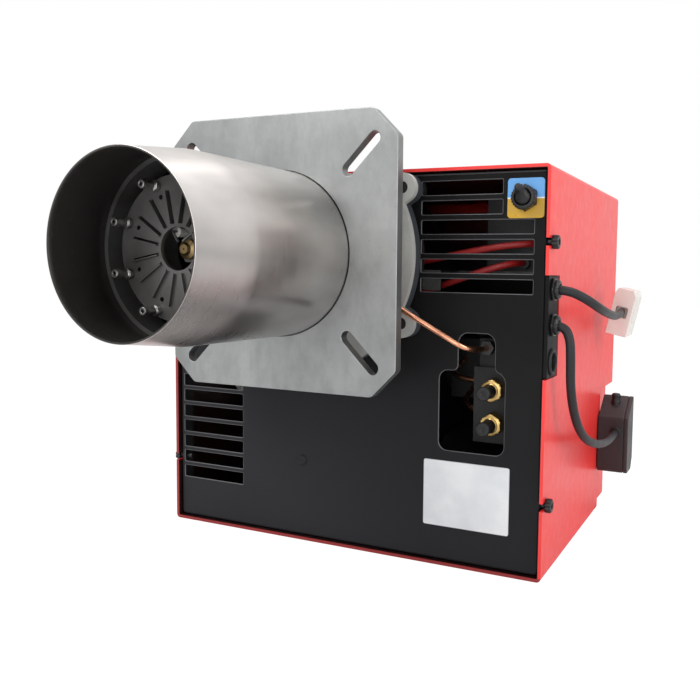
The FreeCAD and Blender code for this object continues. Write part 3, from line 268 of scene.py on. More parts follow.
def paintFinish(name, colour, rough, peel, depth, dust=0.06, coat=0.0, shine=0.5, shades=()):
    # sprayed sheet: orange peel, light dust, small rubs
    finish = Finish(name, Coat_Roughness=0.16, Coat_Weight=coat, Specular_IOR_Level=shine)
    grain = finish.noise(peel, 3)
    cloud = finish.noise(7, 5)
    rub = finish.noise(120, 6, (1, 1, 0.8), 0.6)
    lighter = tone(colour, 1.0 + dust * 3, dust * 0.04)
    base = finish.mix(finish.between(cloud, 0.35, 0.7), tone(colour), lighter)
    base = finish.mix(finish.between(rub, 0.70, 0.80, 0.0, 0.22), base, tone(colour, 1.4, 0.02))
    for shade in shades:
        base = shade(finish, base)
    finish.bump(grain, depth, 0.6)
    return finish.done(base, cloud + rub, 0.7, 1.3, rough - 0.03, rough + 0.12)


# the room inside the hood where shade is painted: bounds just behind its inner faces, and clear of its rear
# bends
hoodShade = {
    "whole": {"X": (-0.1693, 0.2253), "Z": (-0.2758, 0.0746)},
    "parts": [
        {"Y": (None, 0.2883)},
        {"X": (-0.1633, 0.2193), "Y": (None, 0.346)},
        {"Y": (None, 0.356), "Z": (-0.1393, None)},
        {"X": (-0.153, 0.209), "Y": (None, 0.3592), "Z": (-0.265, 0.064)},
        {"X": (-0.153, 0.209), "Y": (None, 0.3692), "Z": (-0.138, 0.064)},
    ],
    "low": (0.010, 0.0012, 0.0012, 1), "high": (0.075, 0.004, 0.004, 1), "change": (0.005, 0.045),
}


def shadeInsideHood(finish, base):
    # painted shade: the inner faces of the hood get a much darker red than the outside, darkest low down and
    # lighter towards the top
    masks = [finish.inside(room) for room in hoodShade["parts"]]
    within = masks[0]
    for mask in masks[1:]:
        within = within.either(mask)
    within = within * finish.inside(hoodShade["whole"])
    upward = finish.between(finish.axis("Z"), *hoodShade["change"])
    return finish.mix(within, base, finish.mix(upward, hoodShade["low"], hoodShade["high"]))


lipDarker = {"x": -0.1685, "y": 0.0606, "z": -0.2750, "colour": (0.26, 0.012, 0.012, 1)}


def darkerLip(finish, base):
    # a darker red on the front lip, low down and on the left
    edges = (finish.axis("X") < lipDarker["x"]).either(finish.axis("Z") < lipDarker["z"])
    lip = (finish.axis("Y") < lipDarker["y"]) * edges
    return finish.mix(lip, base, lipDarker["colour"])


# painted light on the front sheet: a lighter sheen towards the lower left and a highlight along the top bend
sheetPaintedLight = {
    "slope": 0.6, "span": (-0.26, 0.06), "lighter": (0.0235, 0.0235, 0.0260, 1),
    "bend": 0.0712, "bendHighlight": (0.085, 0.085, 0.090, 1),
}


def paintedSheetLight(finish, base):
    # painted light: the sheet is lighter towards its lower left, and a painted highlight runs along its top
    # bend
    height = finish.axis("Z") + finish.axis("X") * sheetPaintedLight["slope"]
    lower = finish.between(height, *sheetPaintedLight["span"], 1.0, 0.0)
    base = finish.mix(lower, base, sheetPaintedLight["lighter"])
    return finish.mix(finish.axis("Z") > sheetPaintedLight["bend"], base, sheetPaintedLight["bendHighlight"])


def castFinish(name, colour, rough=0.46, metal=0.6):
    # die or sand casting: gritty skin, stains in clouds
    finish = Finish(name, Metallic=metal)
    grain = finish.noise(800, 4)
    cloud = finish.noise(24, 5)
    stain = finish.noise(9, 4, (1, 1, 1), 0.6, (2, 5, 1))
    base = finish.mix(finish.between(cloud, 0.35, 0.7), tone(colour), tone(colour, 0.74))
    base = finish.mix(finish.between(stain, 0.52, 0.75, 0.0, 0.35), base, tone(colour, 0.5))
    base = finish.mix(finish.between(grain, 0.58, 0.75, 0.0, 0.3), base, tone(colour, 0.3))
    finish.bump(grain, 0.00022, 0.55)
    return finish.done(base, cloud, 0.3, 0.7, rough, rough + 0.16)


def plasticFinish(name, colour, rough, grainScale=1400, depth=0.00004, wear=0.86, shine=0.5):
    # moulded plastic or rubber: fine texture, handled patches
    finish = Finish(name, Specular_IOR_Level=shine)
    grain = finish.noise(grainScale, 2)
    cloud = finish.noise(30, 4)
    dust = finish.noise(160, 5)
    base = finish.mix(finish.between(cloud, 0.35, 0.7), tone(colour), tone(colour, wear, 0.003))
    base = finish.mix(finish.between(dust, 0.62, 0.78, 0.0, 0.25), base, tone(colour, 1.1, 0.02))
    finish.bump(grain, depth, 0.6)
    return finish.done(base, cloud + dust, 0.7, 1.3, rough - 0.03, rough + 0.12)


def metalFinish(name, colour, rough, spots=60, dull=0.62):
    # turned or drawn fittings: bright skin with tarnish in spots
    finish = Finish(name, Metallic=1.0)
    cloud = finish.noise(spots, 5)
    fine = finish.noise(700, 3)
    base = finish.mix(finish.between(cloud, 0.35, 0.7), tone(colour), tone(colour, dull))
    base = finish.mix(finish.between(fine, 0.62, 0.78, 0.0, 0.35), base, tone(colour, 0.35))
    finish.bump(fine, 0.00003, 0.5)
    return finish.done(base, cloud, 0.3, 0.7, rough, rough + 0.15)


# every depth is near, far and the rounding of the edges, and knurl holds (radius, along) rows
switch = {
    "x": 0.206, "z": 0.0495, "half": (0.01625, 0.01675), "corner": 0.003, "hole": 0.0076,
    "depth": (0.0626, 0.064, 0.0003), "sky": (0.13, 0.36, 0.72), "ochre": (0.52, 0.30, 0.02),
    "line": 0.0006, "lineWhite": (0.80, 0.80, 0.78, 1), "dust": (0.25, 0.25, 0.25, 1),
    "knurl": [(0.0073, 0.0060), (0.0074, 0.0116), (0.0080, 0.0120), (0.0100, 0.0116), (0.0106, 0.0104),
              (0.0106, 0.0056), (0.0100, 0.0046), (0.0073, 0.0046)],
    "nut": (0.0200, 0.0032), "nutPlace": 0.0014,
    "back": (0.013, 0.0125), "backCorner": 0.001, "backDepth": (0.0656, 0.0915, 0.0006),
}


def twoTone(name):
    # printed plate: sky half above, ochre half below, a white line between
    finish = Finish(name)
    height = finish.axis("Z") - switch["z"]
    cloud = finish.noise(70, 4)
    fine = finish.noise(900, 2)
    base = finish.mix(height > 0.0, tone(switch["ochre"]), tone(switch["sky"]))
    base = finish.mix(abs(height) < switch["line"], base, switch["lineWhite"])
    base = finish.mix(finish.between(cloud, 0.5, 0.8, 0.0, 0.12), base, switch["dust"])
    finish.bump(fine, 0.00002, 0.4)
    return finish.done(base, cloud, 0.3, 0.7, 0.24, 0.36)


label = {
    "x": (0.115, 0.197), "z": (-0.2435, -0.183), "corner": 0.002, "depth": (0.0634, 0.064, 0.00012),
    "foil": (0.72, 0.73, 0.74, 1), "handled": (0.62, 0.63, 0.65, 1), "scuffed": (0.46, 0.46, 0.48, 1),
    "edge": 0.0005, "edgeGrey": (0.50, 0.50, 0.52, 1),
}


def labelFinish(name):
    # bare foil label: satin, a duller cut edge, light scuffs
    finish = Finish(name)
    left, right = label["x"]
    low, high = label["z"]
    across = abs(finish.axis("X") - (left + right) / 2) - (right - left) / 2
    upward = abs(finish.axis("Z") - (low + high) / 2) - (high - low) / 2
    nearest = across.either(upward)
    cloud = finish.noise(40, 5)
    scuff = finish.noise(200, 5, (1, 1, 4), 0.6)
    base = finish.mix(finish.between(cloud, 0.35, 0.7), label["foil"], label["handled"])
    base = finish.mix(nearest > -label["edge"], base, label["edgeGrey"])
    base = finish.mix(finish.between(scuff, 0.6, 0.78, 0.0, 0.2), base, label["scuffed"])
    finish.join("Metallic", finish.between(cloud, 0.3, 0.7, 0.25, 0.4))
    finish.bump(scuff, 0.00002, 0.4)
    return finish.done(base, scuff, 0.3, 0.7, 0.32, 0.46)


print("finishes")
looks = {
    "plateZinc": galvanised("plateZinc", (0.315, 0.325, 0.322), 0.42),
    "tubeSteel": tubeSteel("tubeSteel", (0.53, 0.505, 0.49), 0.27),
    # the inside of the tube: a much darker steel than its outside
    "tubeSoot": sooty("tubeSoot", (0.13, 0.122, 0.118), 0.45, 0.34, 0.8),
    "headSteel": sooty("headSteel", (0.50, 0.495, 0.485), 0.35, 0.34, 0.6),
    "jetSteel": metalFinish("jetSteel", (0.50, 0.49, 0.47), 0.26, 200, 0.4),
    "castAlloy": castFinish("castAlloy", (0.72, 0.72, 0.69)),
    # painted shade: a near-black copy of the cast alloy for the cast parts seen inside the hood
    "darkCast": castFinish("darkCast", (0.018, 0.018, 0.019), 0.5, 0.2),
    # the sheet's black, with painted light towards its lower left and a painted highlight on its top bend
    "blackSheet": paintFinish("blackSheet", (0.0040, 0.0038, 0.0042), 0.40, 900, 0.00005, shine=0.10,
                              shades=(paintedSheetLight,)),
    # painted highlight: every hole's edge in the sheet gets a lighter black, standing for the lit cut edges
    "sheetEdge": paintFinish("sheetEdge", (0.050, 0.050, 0.054), 0.30, 900, 0.00005, 0.3),
    # the hood's red, with painted shade on its inner faces
    "redPaint": paintFinish("redPaint", (0.74, 0.026, 0.022), 0.38, 700, 0.00006, 0.04, 0.15,
                            shades=(shadeInsideHood, darkerLip)),
    "zinc": metalFinish("zinc", (0.52, 0.51, 0.46), 0.34),
    # a dark copy of zinc: dark steel on the head bolts, and painted shade on the shelves and pipe unions
    # inside the hood
    "darkZinc": metalFinish("darkZinc", (0.07, 0.07, 0.068), 0.36),
    "brass": metalFinish("brass", (0.62, 0.42, 0.16), 0.24),
    "dullBrass": metalFinish("dullBrass", (0.30, 0.21, 0.10), 0.34),
    "copper": metalFinish("copper", (0.72, 0.33, 0.20), 0.22, 90, 0.55),
    "ceramic": plasticFinish("ceramic", (0.74, 0.73, 0.69), 0.18),
    "rubber": plasticFinish("rubber", (0.009, 0.009, 0.010), 0.46, shine=0.35),
    "cableSheath": plasticFinish("cableSheath", (0.0125, 0.0125, 0.0145), 0.44, 900, 0.00006, shine=0.3),
    "redLead": plasticFinish("redLead", (0.40, 0.014, 0.014), 0.40),
    "blackPlastic": plasticFinish("blackPlastic", (0.009, 0.009, 0.010), 0.30, shine=0.35),
    "plugBrown": plasticFinish("plugBrown", (0.023, 0.018, 0.020), 0.42, 1100, 0.00008, shine=0.35),
    "greyPlastic": plasticFinish("greyPlastic", (0.10, 0.105, 0.11), 0.45),
    "whitePlastic": plasticFinish("whitePlastic", (0.74, 0.71, 0.665), 0.34, 1000, 0.00005, 0.93),
    "label": labelFinish("label"),
    "twoTone": twoTone("twoTone"),
    "gasket": plasticFinish("gasket", (0.030, 0.034, 0.040), 0.6, 500, 0.0001),
    "redButton": plasticFinish("redButton", (0.60, 0.03, 0.02), 0.25),
}
wearing = {
    "plateZinc": ["boiler_flange"],
    "tubeSteel": ["blast_tube"],
    "headSteel": ["air_ring", "diffuser_disc", "gas_manifold", "nozzle_line", "electrode_rods"],
    "jetSteel": ["gas_jets", "motor_shaft"],
    "castAlloy": ["head_casting", "motor_plate", "motor_body", "motor_end_cap"],
    "darkCast": ["oil_pump", "oil_manifold", "fan_housing"],
    "blackSheet": ["front_panel", "inlet_box", "gland_strip", "push_cap"],
    "redPaint": ["hood"],
    "zinc": ["electrode_clamp", "fan_wheel", "air_damper"],
    "darkZinc": ["head_bolts", "left_shelf", "right_shelf", "pipe_unions"],
    "brass": ["hose_nipples"],
    "dullBrass": ["oil_nozzle"],
    "copper": ["copper_pipe", "pump_pipes"],
    "ceramic": ["electrode_insulators"],
    "rubber": ["switch_lever", "grommet", "nipple_cap_upper", "nipple_cap_lower"],
    "cableSheath": ["cable_mains", "cable_valve"],
    "redLead": ["ignition_lead_a", "ignition_lead_b"],
    "blackPlastic": ["ring_knob", "switch_body", "hood_screws", "solenoid_coils", "ignition_transformer",
                     "control_box", "cable_glands"],
    "plugBrown": ["plug_black"],
    "greyPlastic": ["pump_coupling", "servomotor", "flame_sensor"],
    "whitePlastic": ["plug_white", "capacitor"],
    "label": ["rating_plate"],
    "twoTone": ["switch_plate"],
    "gasket": ["head_gasket", "spacer_ring"],
    "redButton": ["reset_button"],
}
for look, members in wearing.items():
    for member in members:
        mesh = nodes[member].data
        mesh.materials.clear()
        mesh.materials.append(looks[look])


def bodyOf(node):
    return nodes[node].parent.name.split(":", 1)[1]


def newPiece(name, mesh, node, *wanted):
    # a visible piece that stands for a CAD node and rides on its body
    piece = bpy.data.objects.new(name, mesh)
    scene.collection.objects.link(piece)
    for look in wanted:
        mesh.materials.append(looks[look])
    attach(piece, bodyOf(node))
    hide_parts(node)
    return piece


def rounded(points, steps=5):
    # a closed line through (u, v) or (u, v, r), where r rounds that corner
    line = []
    for index, point in enumerate(points):
        here = Vector(point[:2])
        if len(point) < 3:
            line.append(here)
            continue
        before = (Vector(points[index - 1][:2]) - here).normalized()
        after = (Vector(points[(index + 1) % len(points)][:2]) - here).normalized()
        half = before.angle(after) / 2
        middle = here + (before + after).normalized() * (point[2] / math.sin(half))
        start = here + before * (point[2] / math.tan(half)) - middle
        end = here + after * (point[2] / math.tan(half)) - middle
        sweep = math.atan2(start.x * end.y - start.y * end.x, start.dot(end))
        for step in range(steps + 1):
            turn = Matrix.Rotation(sweep * step / steps, 2)
            line.append(middle + turn @ start)
    return line


def ring(u, v, radius, steps=48):
    turns = [math.tau * step / steps for step in range(steps)]
    return [Vector((u + radius * math.cos(turn), v + radius * math.sin(turn))) for turn in turns]


def box(left, right, low, high, radius):
    return rounded([(left, low, radius), (right, low, radius), (right, high, radius), (left, high, radius)])


def wayRound(line, outside):
    # outlines run against the clock and holes with it, so the material is always on the left
    area = sum(a.x * b.y - a.y * b.x for a, b in zip(line, line[1:] + line[:1]))
    return line if (area > 0) == outside else line[::-1]


def inset(line, amount):
    moved = []
    for index, spot in enumerate(line):
        before = (spot - line[index - 1]).normalized()
        after = (line[(index + 1) % len(line)] - spot).normalized()
        normal = Vector((-before.y - after.y, before.x + after.x)).normalized()
        lean = max(0.35, normal.dot(Vector((-before.y, before.x))))
        moved.append(spot + normal * (amount / lean))
    return moved


def lipRows(low, high, edge):
    # a side wall from low to high with a small round at both ends, as (inset, depth)
    rows = []
    for step in range(4):
        turn = math.radians(30 * step)
        rows.append((edge * (1 - math.sin(turn)), low + edge * (1 - math.cos(turn))))
    return rows + [(part, low + high - depth) for part, depth in reversed(rows)]


spaces = {
    "xz": lambda u, v, depth: (u, depth, v),
    "yz": lambda u, v, depth: (depth, u, v),
}


def stamped(name, loops, low, high, edge, space="xz", rim=None, edgeLook=0, skip=None):
    # a plate or block with holes and rounded edges, whose first loop is its outline
    shape = bmesh.new()
    put = spaces[space]
    ends = ([], [])
    for number, loop in enumerate(loops):
        line = wayRound(loop, number == 0)
        rows = rim if rim and number == 0 else lipRows(low, high, edge)
        rings = []
        for amount, depth in rows:
            spots = inset(line, amount) if amount else line
            rings.append([shape.verts.new(put(spot.x, spot.y, depth)) for spot in spots])
        for first, second in zip(rings, rings[1:]):
            for index in range(len(line)):
                after = (index + 1) % len(line)
                face = shape.faces.new((first[index], first[after], second[after], second[index]))
                face.smooth = True
                face.material_index = edgeLook if number else 0
                if skip and skip(face.calc_center_median()):
                    shape.faces.remove(face)
        for place, verts in ((0, rings[0]), (1, rings[-1])):
            for index in range(len(verts)):
                pair = (verts[index], verts[(index + 1) % len(verts)])
                ends[place].append(shape.edges.get(pair) or shape.edges.new(pair))
    for edges in ends:
        bmesh.ops.triangle_fill(shape, use_beauty=True, use_dissolve=False, edges=edges)
    bmesh.ops.recalc_face_normals(shape, faces=shape.faces)
    mesh = bpy.data.meshes.new(name)
    shape.to_mesh(mesh)
    shape.free()
    return mesh


def flatShaded(piece):
    # broad faces keep one normal, only the small rounds blend
    weigh = piece.modifiers.new("weigh", "WEIGHTED_NORMAL")
    weigh.weight = 100


facing = {
    "x": Matrix.Rotation(math.pi / 2, 4, "Y"),
    "-x": Matrix.Rotation(-math.pi / 2, 4, "Y"),
    "y": Matrix.Rotation(-math.pi / 2, 4, "X"),
    "-y": Matrix.Rotation(math.pi / 2, 4, "X"),
    "z": Matrix.Identity(4),
}


def turned(shape, rows, place, way, steps=72, form=None, look=0, cap=False):
    # adds (radius, along) rows turned round an axis to shape, with form(turn, along) scaling the radius
    if isinstance(way, str):
        aim = facing[way]
    else:
        aim = Vector((0, 0, 1)).rotation_difference(Vector(way)).to_matrix().to_4x4()
    away = Matrix.Translation(place) @ aim
    rings = []
    for radius, along in rows:
        here = []
        for step in range(steps):
            angle = math.tau * step / steps
            reach = radius * (form(angle, along) if form else 1)
            spot = Vector((reach * math.cos(angle), reach * math.sin(angle), along))
            here.append(shape.verts.new(away @ spot))
        rings.append(here)
    for first, second in zip(rings, rings[1:]):
        for index in range(steps):
            after = (index + 1) % steps
            face = shape.faces.new((first[index], first[after], second[after], second[index]))
            face.smooth = True
            face.material_index = look
    if cap:
        for verts in (rings[0], rings[-1]):
            shape.faces.new(verts).material_index = look


def bevelled(points, radius=0.0004):
    # rounds the corners of a turned profile's open line
    line = [Vector(points[0])]
    for before, here, after in zip(points, points[1:], points[2:]):
        here = Vector(here)
        toward = Vector(before) - here
        onward = Vector(after) - here
        reach = min(radius, toward.length * 0.45, onward.length * 0.45)
        start = here + toward.normalized() * reach
        end = here + onward.normalized() * reach
        for step in range(4):
            part = step / 3
            line.append(start * (1 - part) ** 2 + here * (2 * part * (1 - part)) + end * part ** 2)
    line.append(Vector(points[-1]))
    return [(spot.x, spot.y) for spot in line]


def lathe(name, forms):
    # one mesh from several turned forms: each is rows, place, way and the options of turned
    shape = bmesh.new()
    for rows, place, way, options in forms:
        turned(shape, rows, place, way, **options)
    bmesh.ops.remove_doubles(shape, verts=shape.verts, dist=1e-6)
    bmesh.ops.recalc_face_normals(shape, faces=shape.faces)
    mesh = bpy.data.meshes.new(name)
    shape.to_mesh(mesh)
    shape.free()
    mesh.set_sharp_from_angle(angle=math.radians(40))
    return mesh


def sided(many, angle):
    # how far out a form with flats reaches, where the radius given is that of the flats
    half = math.pi / many
    return 1 / math.cos((angle + half) % (2 * half) - half)


def hexNut(flats, length, place, way, start=0.0):
    # a chamfered nut as forms for lathe
    half = flats / 2
    body = [(half * 0.9, start), (half * 0.985, start + half * 0.06), (half, start + half * 0.16),
            (half, start + length - half * 0.16), (half * 0.985, start + length - half * 0.06),
            (half * 0.9, start + length)]

    def form(angle, along):
        inward = min(along - start, start + length - along)
        return min(sided(6, angle), 1 / 0.985 + inward / half * 1.1)

    return [(body, place, way, {"form": form, "steps": 96, "cap": True})]


def fluted(many, depth):
    return lambda angle, along: 1 - depth * (0.5 + 0.5 * math.cos(many * angle)) ** 2


print("boiler plate and blast tube")
plate = {
    "half": (0.117, 0.120), "depth": (0.0, 0.010, 0.0007), "corner": 0.023, "round": 0.006,
    "bore": 0.0723, "slots": 0.117, "slot": (0.046, 0.0055),
}


def boilerPlate():
    wide, high = plate["half"]
    near, bend = plate["corner"], plate["round"]
    outline = rounded([
        (near - wide, -high, bend), (wide - near, -high, bend), (wide, near - high, bend),
        (wide, high - near, bend), (wide - near, high, bend), (near - wide, high, bend),
        (-wide, high - near, bend), (-wide, near - high, bend),
    ])
    loops = [outline, ring(0, 0, plate["bore"], 128)]
    reach, radius = plate["slot"]
    for index in range(4):
        turn = Matrix.Rotation(math.radians(45 + 90 * index), 2)
        along = reach / 2 - radius
        slot = []
        for side in (1, -1):
            for step in range(13):
                angle = math.radians(-90 + 15 * step) + (0 if side > 0 else math.pi)
                middle = Vector((plate["slots"] + side * along, 0))
                slot.append(turn @ (middle + radius * Vector((math.cos(angle), math.sin(angle)))))
        loops.append(slot)
    mesh = stamped("boilerPlate", loops, *plate["depth"])
    flatShaded(newPiece("boilerPlate", mesh, "boiler_flange", "plateZinc"))


boilerPlate()
# (radius, along Y) rows, from the rear end to the mouth and back inside
tube = {
    "outside": [(0.0712, 0.016), (0.0712, -0.001), (0.072, -0.001), (0.072, -0.119), (0.0717, -0.1255),
                (0.0706, -0.1345), (0.0662, -0.1745), (0.06602, -0.1778), (0.0657, -0.178)],
    "inside": [(0.0657, -0.178), (0.0646, -0.178), (0.0643, -0.1776), (0.06425, -0.174), (0.0702, -0.1245),
               (0.0702, 0.016), (0.0712, 0.016)],
    "steps": 160,
}


def blastTube():
    outside = [(radius, -along) for radius, along in tube["outside"]]
    inside = [(radius, -along) for radius, along in tube["inside"]]
    mesh = lathe("blastTube", [
        (outside, (0, 0, 0), "-y", {"steps": tube["steps"]}),
        (inside, (0, 0, 0), "-y", {"steps": tube["steps"], "look": 1}),
    ])
    newPiece("blastTube", mesh, "blast_tube", "tubeSteel", "tubeSoot")


blastTube()
# (radius, distance in front of the plate) rows of one jet, and its nut
jets = {
    "many": 8, "circle": 0.0495,
    "rows": [(0.0013, 0.1335), (0.0013, 0.138), (0.0030, 0.138), (0.0036, 0.1368), (0.0036, 0.1330),
             (0.0026, 0.1318), (0.0026, 0.1272), (0.0034, 0.1266), (0.0034, 0.112)],
    "nut": (0.0074, 0.0028), "nutPlace": 0.1236,
}


def gasJets():
    forms = []
    for index in range(jets["many"]):
        angle = math.radians(360 * (index + 0.5) / jets["many"])
        place = (jets["circle"] * math.cos(angle), 0, jets["circle"] * math.sin(angle))
        forms.append((bevelled(jets["rows"], 0.0003), place, "-y", {"steps": 28}))
        forms += hexNut(*jets["nut"], place, "-y", jets["nutPlace"])
    newPiece("gasJets", lathe("gasJets", forms), "gas_jets", "jetSteel")


gasJets()

print("front sheet")
# slots are left, right, lowest bottom, pitch and number, and the opening's corners are x, z and radius
sheet = {
    "box": (-0.1682, 0.2242, -0.2748, 0.0730), "front": 0.064, "back": 0.0655, "return": 0.080,
    "thick": 0.0015, "round": 0.0024, "corner": 0.004, "edge": 0.0007,
    "ears": (0.097, 0.060, 0.0055), "neck": 0.0665, "cap": (-0.0169, -0.2001, 0.004), "switchHole": 0.008,
    "glands": (-0.101, -0.017), "cutFrom": (0.2215, 0.069),
    "slots": [(0.1093, 0.2134, -0.0313, 0.0171, 4), (0.1093, 0.1850, 0.0371, 0.0171, 2),
              (-0.1637, -0.0884, -0.2336, 0.0162, 7)],
    "slotHigh": 0.0118, "slotCorner": 0.0008,
    "opening": [
        (0.1290, -0.1733, 0.008), (0.1907, -0.1733, 0.008), (0.1907, -0.1010, 0.008),
        (0.18105, -0.1010, 0.0055), (0.18105, -0.0670, 0.009), (0.14695, -0.0670, 0.009),
        (0.14695, -0.1010, 0.0055), (0.1290, -0.1010, 0.008),
    ],
}


def frontSheet():
    left, right, low, high = sheet["box"]
    corner = sheet["corner"]
    under, over = sheet["glands"]
    outline = rounded([(left, low, corner), (right, low, corner), (right, under), (right, over),
                       (right, high, corner), (left, high, corner)])
    loops = [outline, ring(0, 0, sheet["neck"], 96)]
    across, upward, radius = sheet["ears"]
    for side in (-1, 1):
        for level in (-1, 1):
            loops.append(ring(side * across, level * upward, radius, 24))
    loops.append(ring(*sheet["cap"], 20))
    loops.append(ring(switch["x"], switch["z"], sheet["switchHole"], 32))
    for start, end, bottom, pitch, many in sheet["slots"]:
        for index in range(many):
            floor = bottom + pitch * index
            loops.append(box(start, end, floor, floor + sheet["slotHigh"], sheet["slotCorner"]))
    loops.append(rounded(sheet["opening"], 7))
    # the rim turns back round a small bend, and is cut away behind the gland strip
    front, back, rear, bend, thick = (sheet[key] for key in ("front", "back", "return", "round", "thick"))
    edge, depth = sheet["cutFrom"]
    rim = []
    for step in range(7):
        turn = math.radians(15 * step)
        rim.append((bend * (1 - math.sin(turn)), front + bend * (1 - math.cos(turn))))
    rim += [(0, depth), (0, rear), (thick, rear), (thick, depth), (thick, back)]

    def behindGlands(spot):
        return spot.x > edge and under < spot.z < over and spot.y > depth

    mesh = stamped("frontSheet", loops, front, back, sheet["edge"], rim=rim, edgeLook=1, skip=behindGlands)
    flatShaded(newPiece("frontSheet", mesh, "front_panel", "blackSheet", "sheetEdge"))


frontSheet()


def pushCap():
    # a domed cap with a small square stud on it
    place = (sheet["cap"][0], sheet["front"], sheet["cap"][1])
    dome = bevelled([(0.0, -0.0020), (0.0042, -0.0020), (0.0055, -0.0008), (0.0055, 0.0), (0.0036, 0.0),
                     (0.0036, 0.0034), (0.0, 0.0036)], 0.0005)
    stud = [(0.0013, -0.0022), (0.0014, -0.0020), (0.0014, -0.0012)]
    mesh = lathe("pushCap", [
        (dome, place, "y", {"steps": 40}),
        (stud, place, "y", {"steps": 32, "form": lambda angle, along: sided(4, angle), "cap": True}),
    ])
    newPiece("pushCap", mesh, "push_cap", "blackSheet")


pushCap()


def foilLabel():
    left, right = label["x"]
    low, high = label["z"]
    mesh = stamped("foilLabel", [box(left, right, low, high, label["corner"])], *label["depth"])
    flatShaded(newPiece("foilLabel", mesh, "rating_plate", "label"))


foilLabel()

print("switch")
# (radius, along) rows of the lever's boot: its root, and the rounded tip that follows its soft folds
boot = {
    "middle": (0.206, 0.055, 0.0495), "lean": (0, -math.cos(math.radians(25)), math.sin(math.radians(25))),
    "root": [(0.0, -0.0069), (0.0035, -0.0060), (0.0060, -0.0034), (0.0069, 0.0), (0.0066, 0.0022),
             (0.0056, 0.0034)],
    "folds": 5, "first": 0.0038, "pitch": 0.0019, "crest": (0.0052, 0.0003), "dip": (0.0043, 0.0002),
    "tip": [(0.0036, 0.0140), (0.0034, 0.0160), (0.0028, 0.0174), (0.0016, 0.0181), (0.0, 0.0182)],
}


def switchPlate():
    x, z = switch["x"], switch["z"]
    wide, high = switch["half"]
    loops = [box(x - wide, x + wide, z - high, z + high, switch["corner"]), ring(x, z, switch["hole"])]
    mesh = stamped("switchPlate", loops, *switch["depth"])
    flatShaded(newPiece("switchPlate", mesh, "switch_plate", "twoTone"))


def leverBoot():
    rows = list(boot["root"])
    for index in range(boot["folds"]):
        along = boot["first"] + boot["pitch"] * index
        for (radius, less), further in ((boot["crest"], 0), (boot["dip"], boot["pitch"] / 2)):
            rows.append((radius - less * index, along + further))
    rows += boot["tip"]
    mesh = lathe("leverBoot", [(rows, boot["middle"], boot["lean"], {"steps": 40})])
    newPiece("leverBoot", mesh, "switch_lever", "rubber")


def switchCollar():
    # knurled ring with a hexagon nut behind it, and the housing behind the sheet
    x, z = switch["x"], switch["z"]
    place = (x, switch["depth"][1], z)
    forms = [(bevelled(switch["knurl"]), place, "-y", {"steps": 144, "form": fluted(24, 0.06)})]
    forms += hexNut(*switch["nut"], place, "-y", switch["nutPlace"])
    newPiece("switchCollar", lathe("switchCollar", forms), "switch_body", "blackPlastic")
    wide, high = switch["back"]
    back = [box(x - wide, x + wide, z - high, z + high, switch["backCorner"])]
    mesh = stamped("switchBack", back, *switch["backDepth"])
    flatShaded(newPiece("switchBack", mesh, "switch_body", "blackPlastic"))


switchPlate()
leverBoot()
switchCollar()

print("glands, grommet and gland strip")
# the domed nut of a gland, its stem and the lip of the open grommet hold (radius, along) rows
gland = {
    "strip": 0.2275, "depth": (0.2242, 0.2275, 0.0004), "outline": (0.064, 0.0965, -0.1028, -0.0155, 0.0012),
    "y": 0.079, "levels": (-0.027, -0.0575), "hole": 0.0062, "open": (0.080, -0.0895), "openHole": 0.0099,
    "dome": [(0.0080, 0.0024), (0.0086, 0.0028), (0.0086, 0.0046), (0.0074, 0.0060), (0.0056, 0.0063),
             (0.0045, 0.0058), (0.0043, 0.0030)],
    "stem": [(0.0044, 0.0030), (0.0043, -0.0085), (0.0060, -0.0085), (0.0060, 0.0)],
    "nut": (0.019, 0.0026), "rearNut": (0.016, 0.0030), "rearPlace": -0.0063,
    "lip": [(0.0082, -0.0050), (0.0082, 0.0012), (0.0092, 0.0021), (0.0110, 0.0021), (0.0119, 0.0010),
            (0.0119, 0.0), (0.0099, 0.0), (0.0099, -0.0033), (0.0108, -0.0034), (0.0108, -0.0048),
            (0.0082, -0.0050)],
}


def glandStrip():
    loops = [box(*gland["outline"])]
    for level in gland["levels"]:
        loops.append(ring(gland["y"], level, gland["hole"], 32))
    loops.append(ring(*gland["open"], gland["openHole"], 40))
    mesh = stamped("glandStrip", loops, *gland["depth"], "yz")
    flatShaded(newPiece("glandStrip", mesh, "gland_strip", "blackSheet"))


def cableGlands():
    dome = bevelled(gland["dome"])
    forms = []
    for level in gland["levels"]:
        place = (gland["strip"], gland["y"], level)
        forms += hexNut(*gland["nut"], place, "x")
        forms.append((dome, place, "x", {"steps": 60, "form": fluted(12, 0.05)}))
        forms.append((gland["stem"], place, "x", {"steps": 40}))
        forms += hexNut(*gland["rearNut"], place, "x", gland["rearPlace"])
    newPiece("cableGlands", lathe("cableGlands", forms), "cable_glands", "blackPlastic")


def openGrommet():
    place = (gland["strip"], *gland["open"])
    mesh = lathe("openGrommet", [(bevelled(gland["lip"], 0.0005), place, "x", {"steps": 56})])
    newPiece("openGrommet", mesh, "grommet", "rubber")


glandStrip()
cableGlands()
openGrommet()

print("hood screws and hose nipples")
# (radius, along) rows of a hood screw, whose head has grooves and whose shank is plain
knobs = {
    "y": 0.070, "levels": (0.013, -0.213), "right": 0.2282, "left": -0.1722, "grooves": (8, 0.16),
    "rows": [(0.0, 0.0035), (0.0026, 0.0035), (0.0028, 0.0056), (0.0050, 0.0058), (0.0061, 0.0048),
             (0.0062, 0.0006), (0.0056, 0.0), (0.0029, 0.0), (0.0029, -0.0138), (0.0, -0.0140)],
}


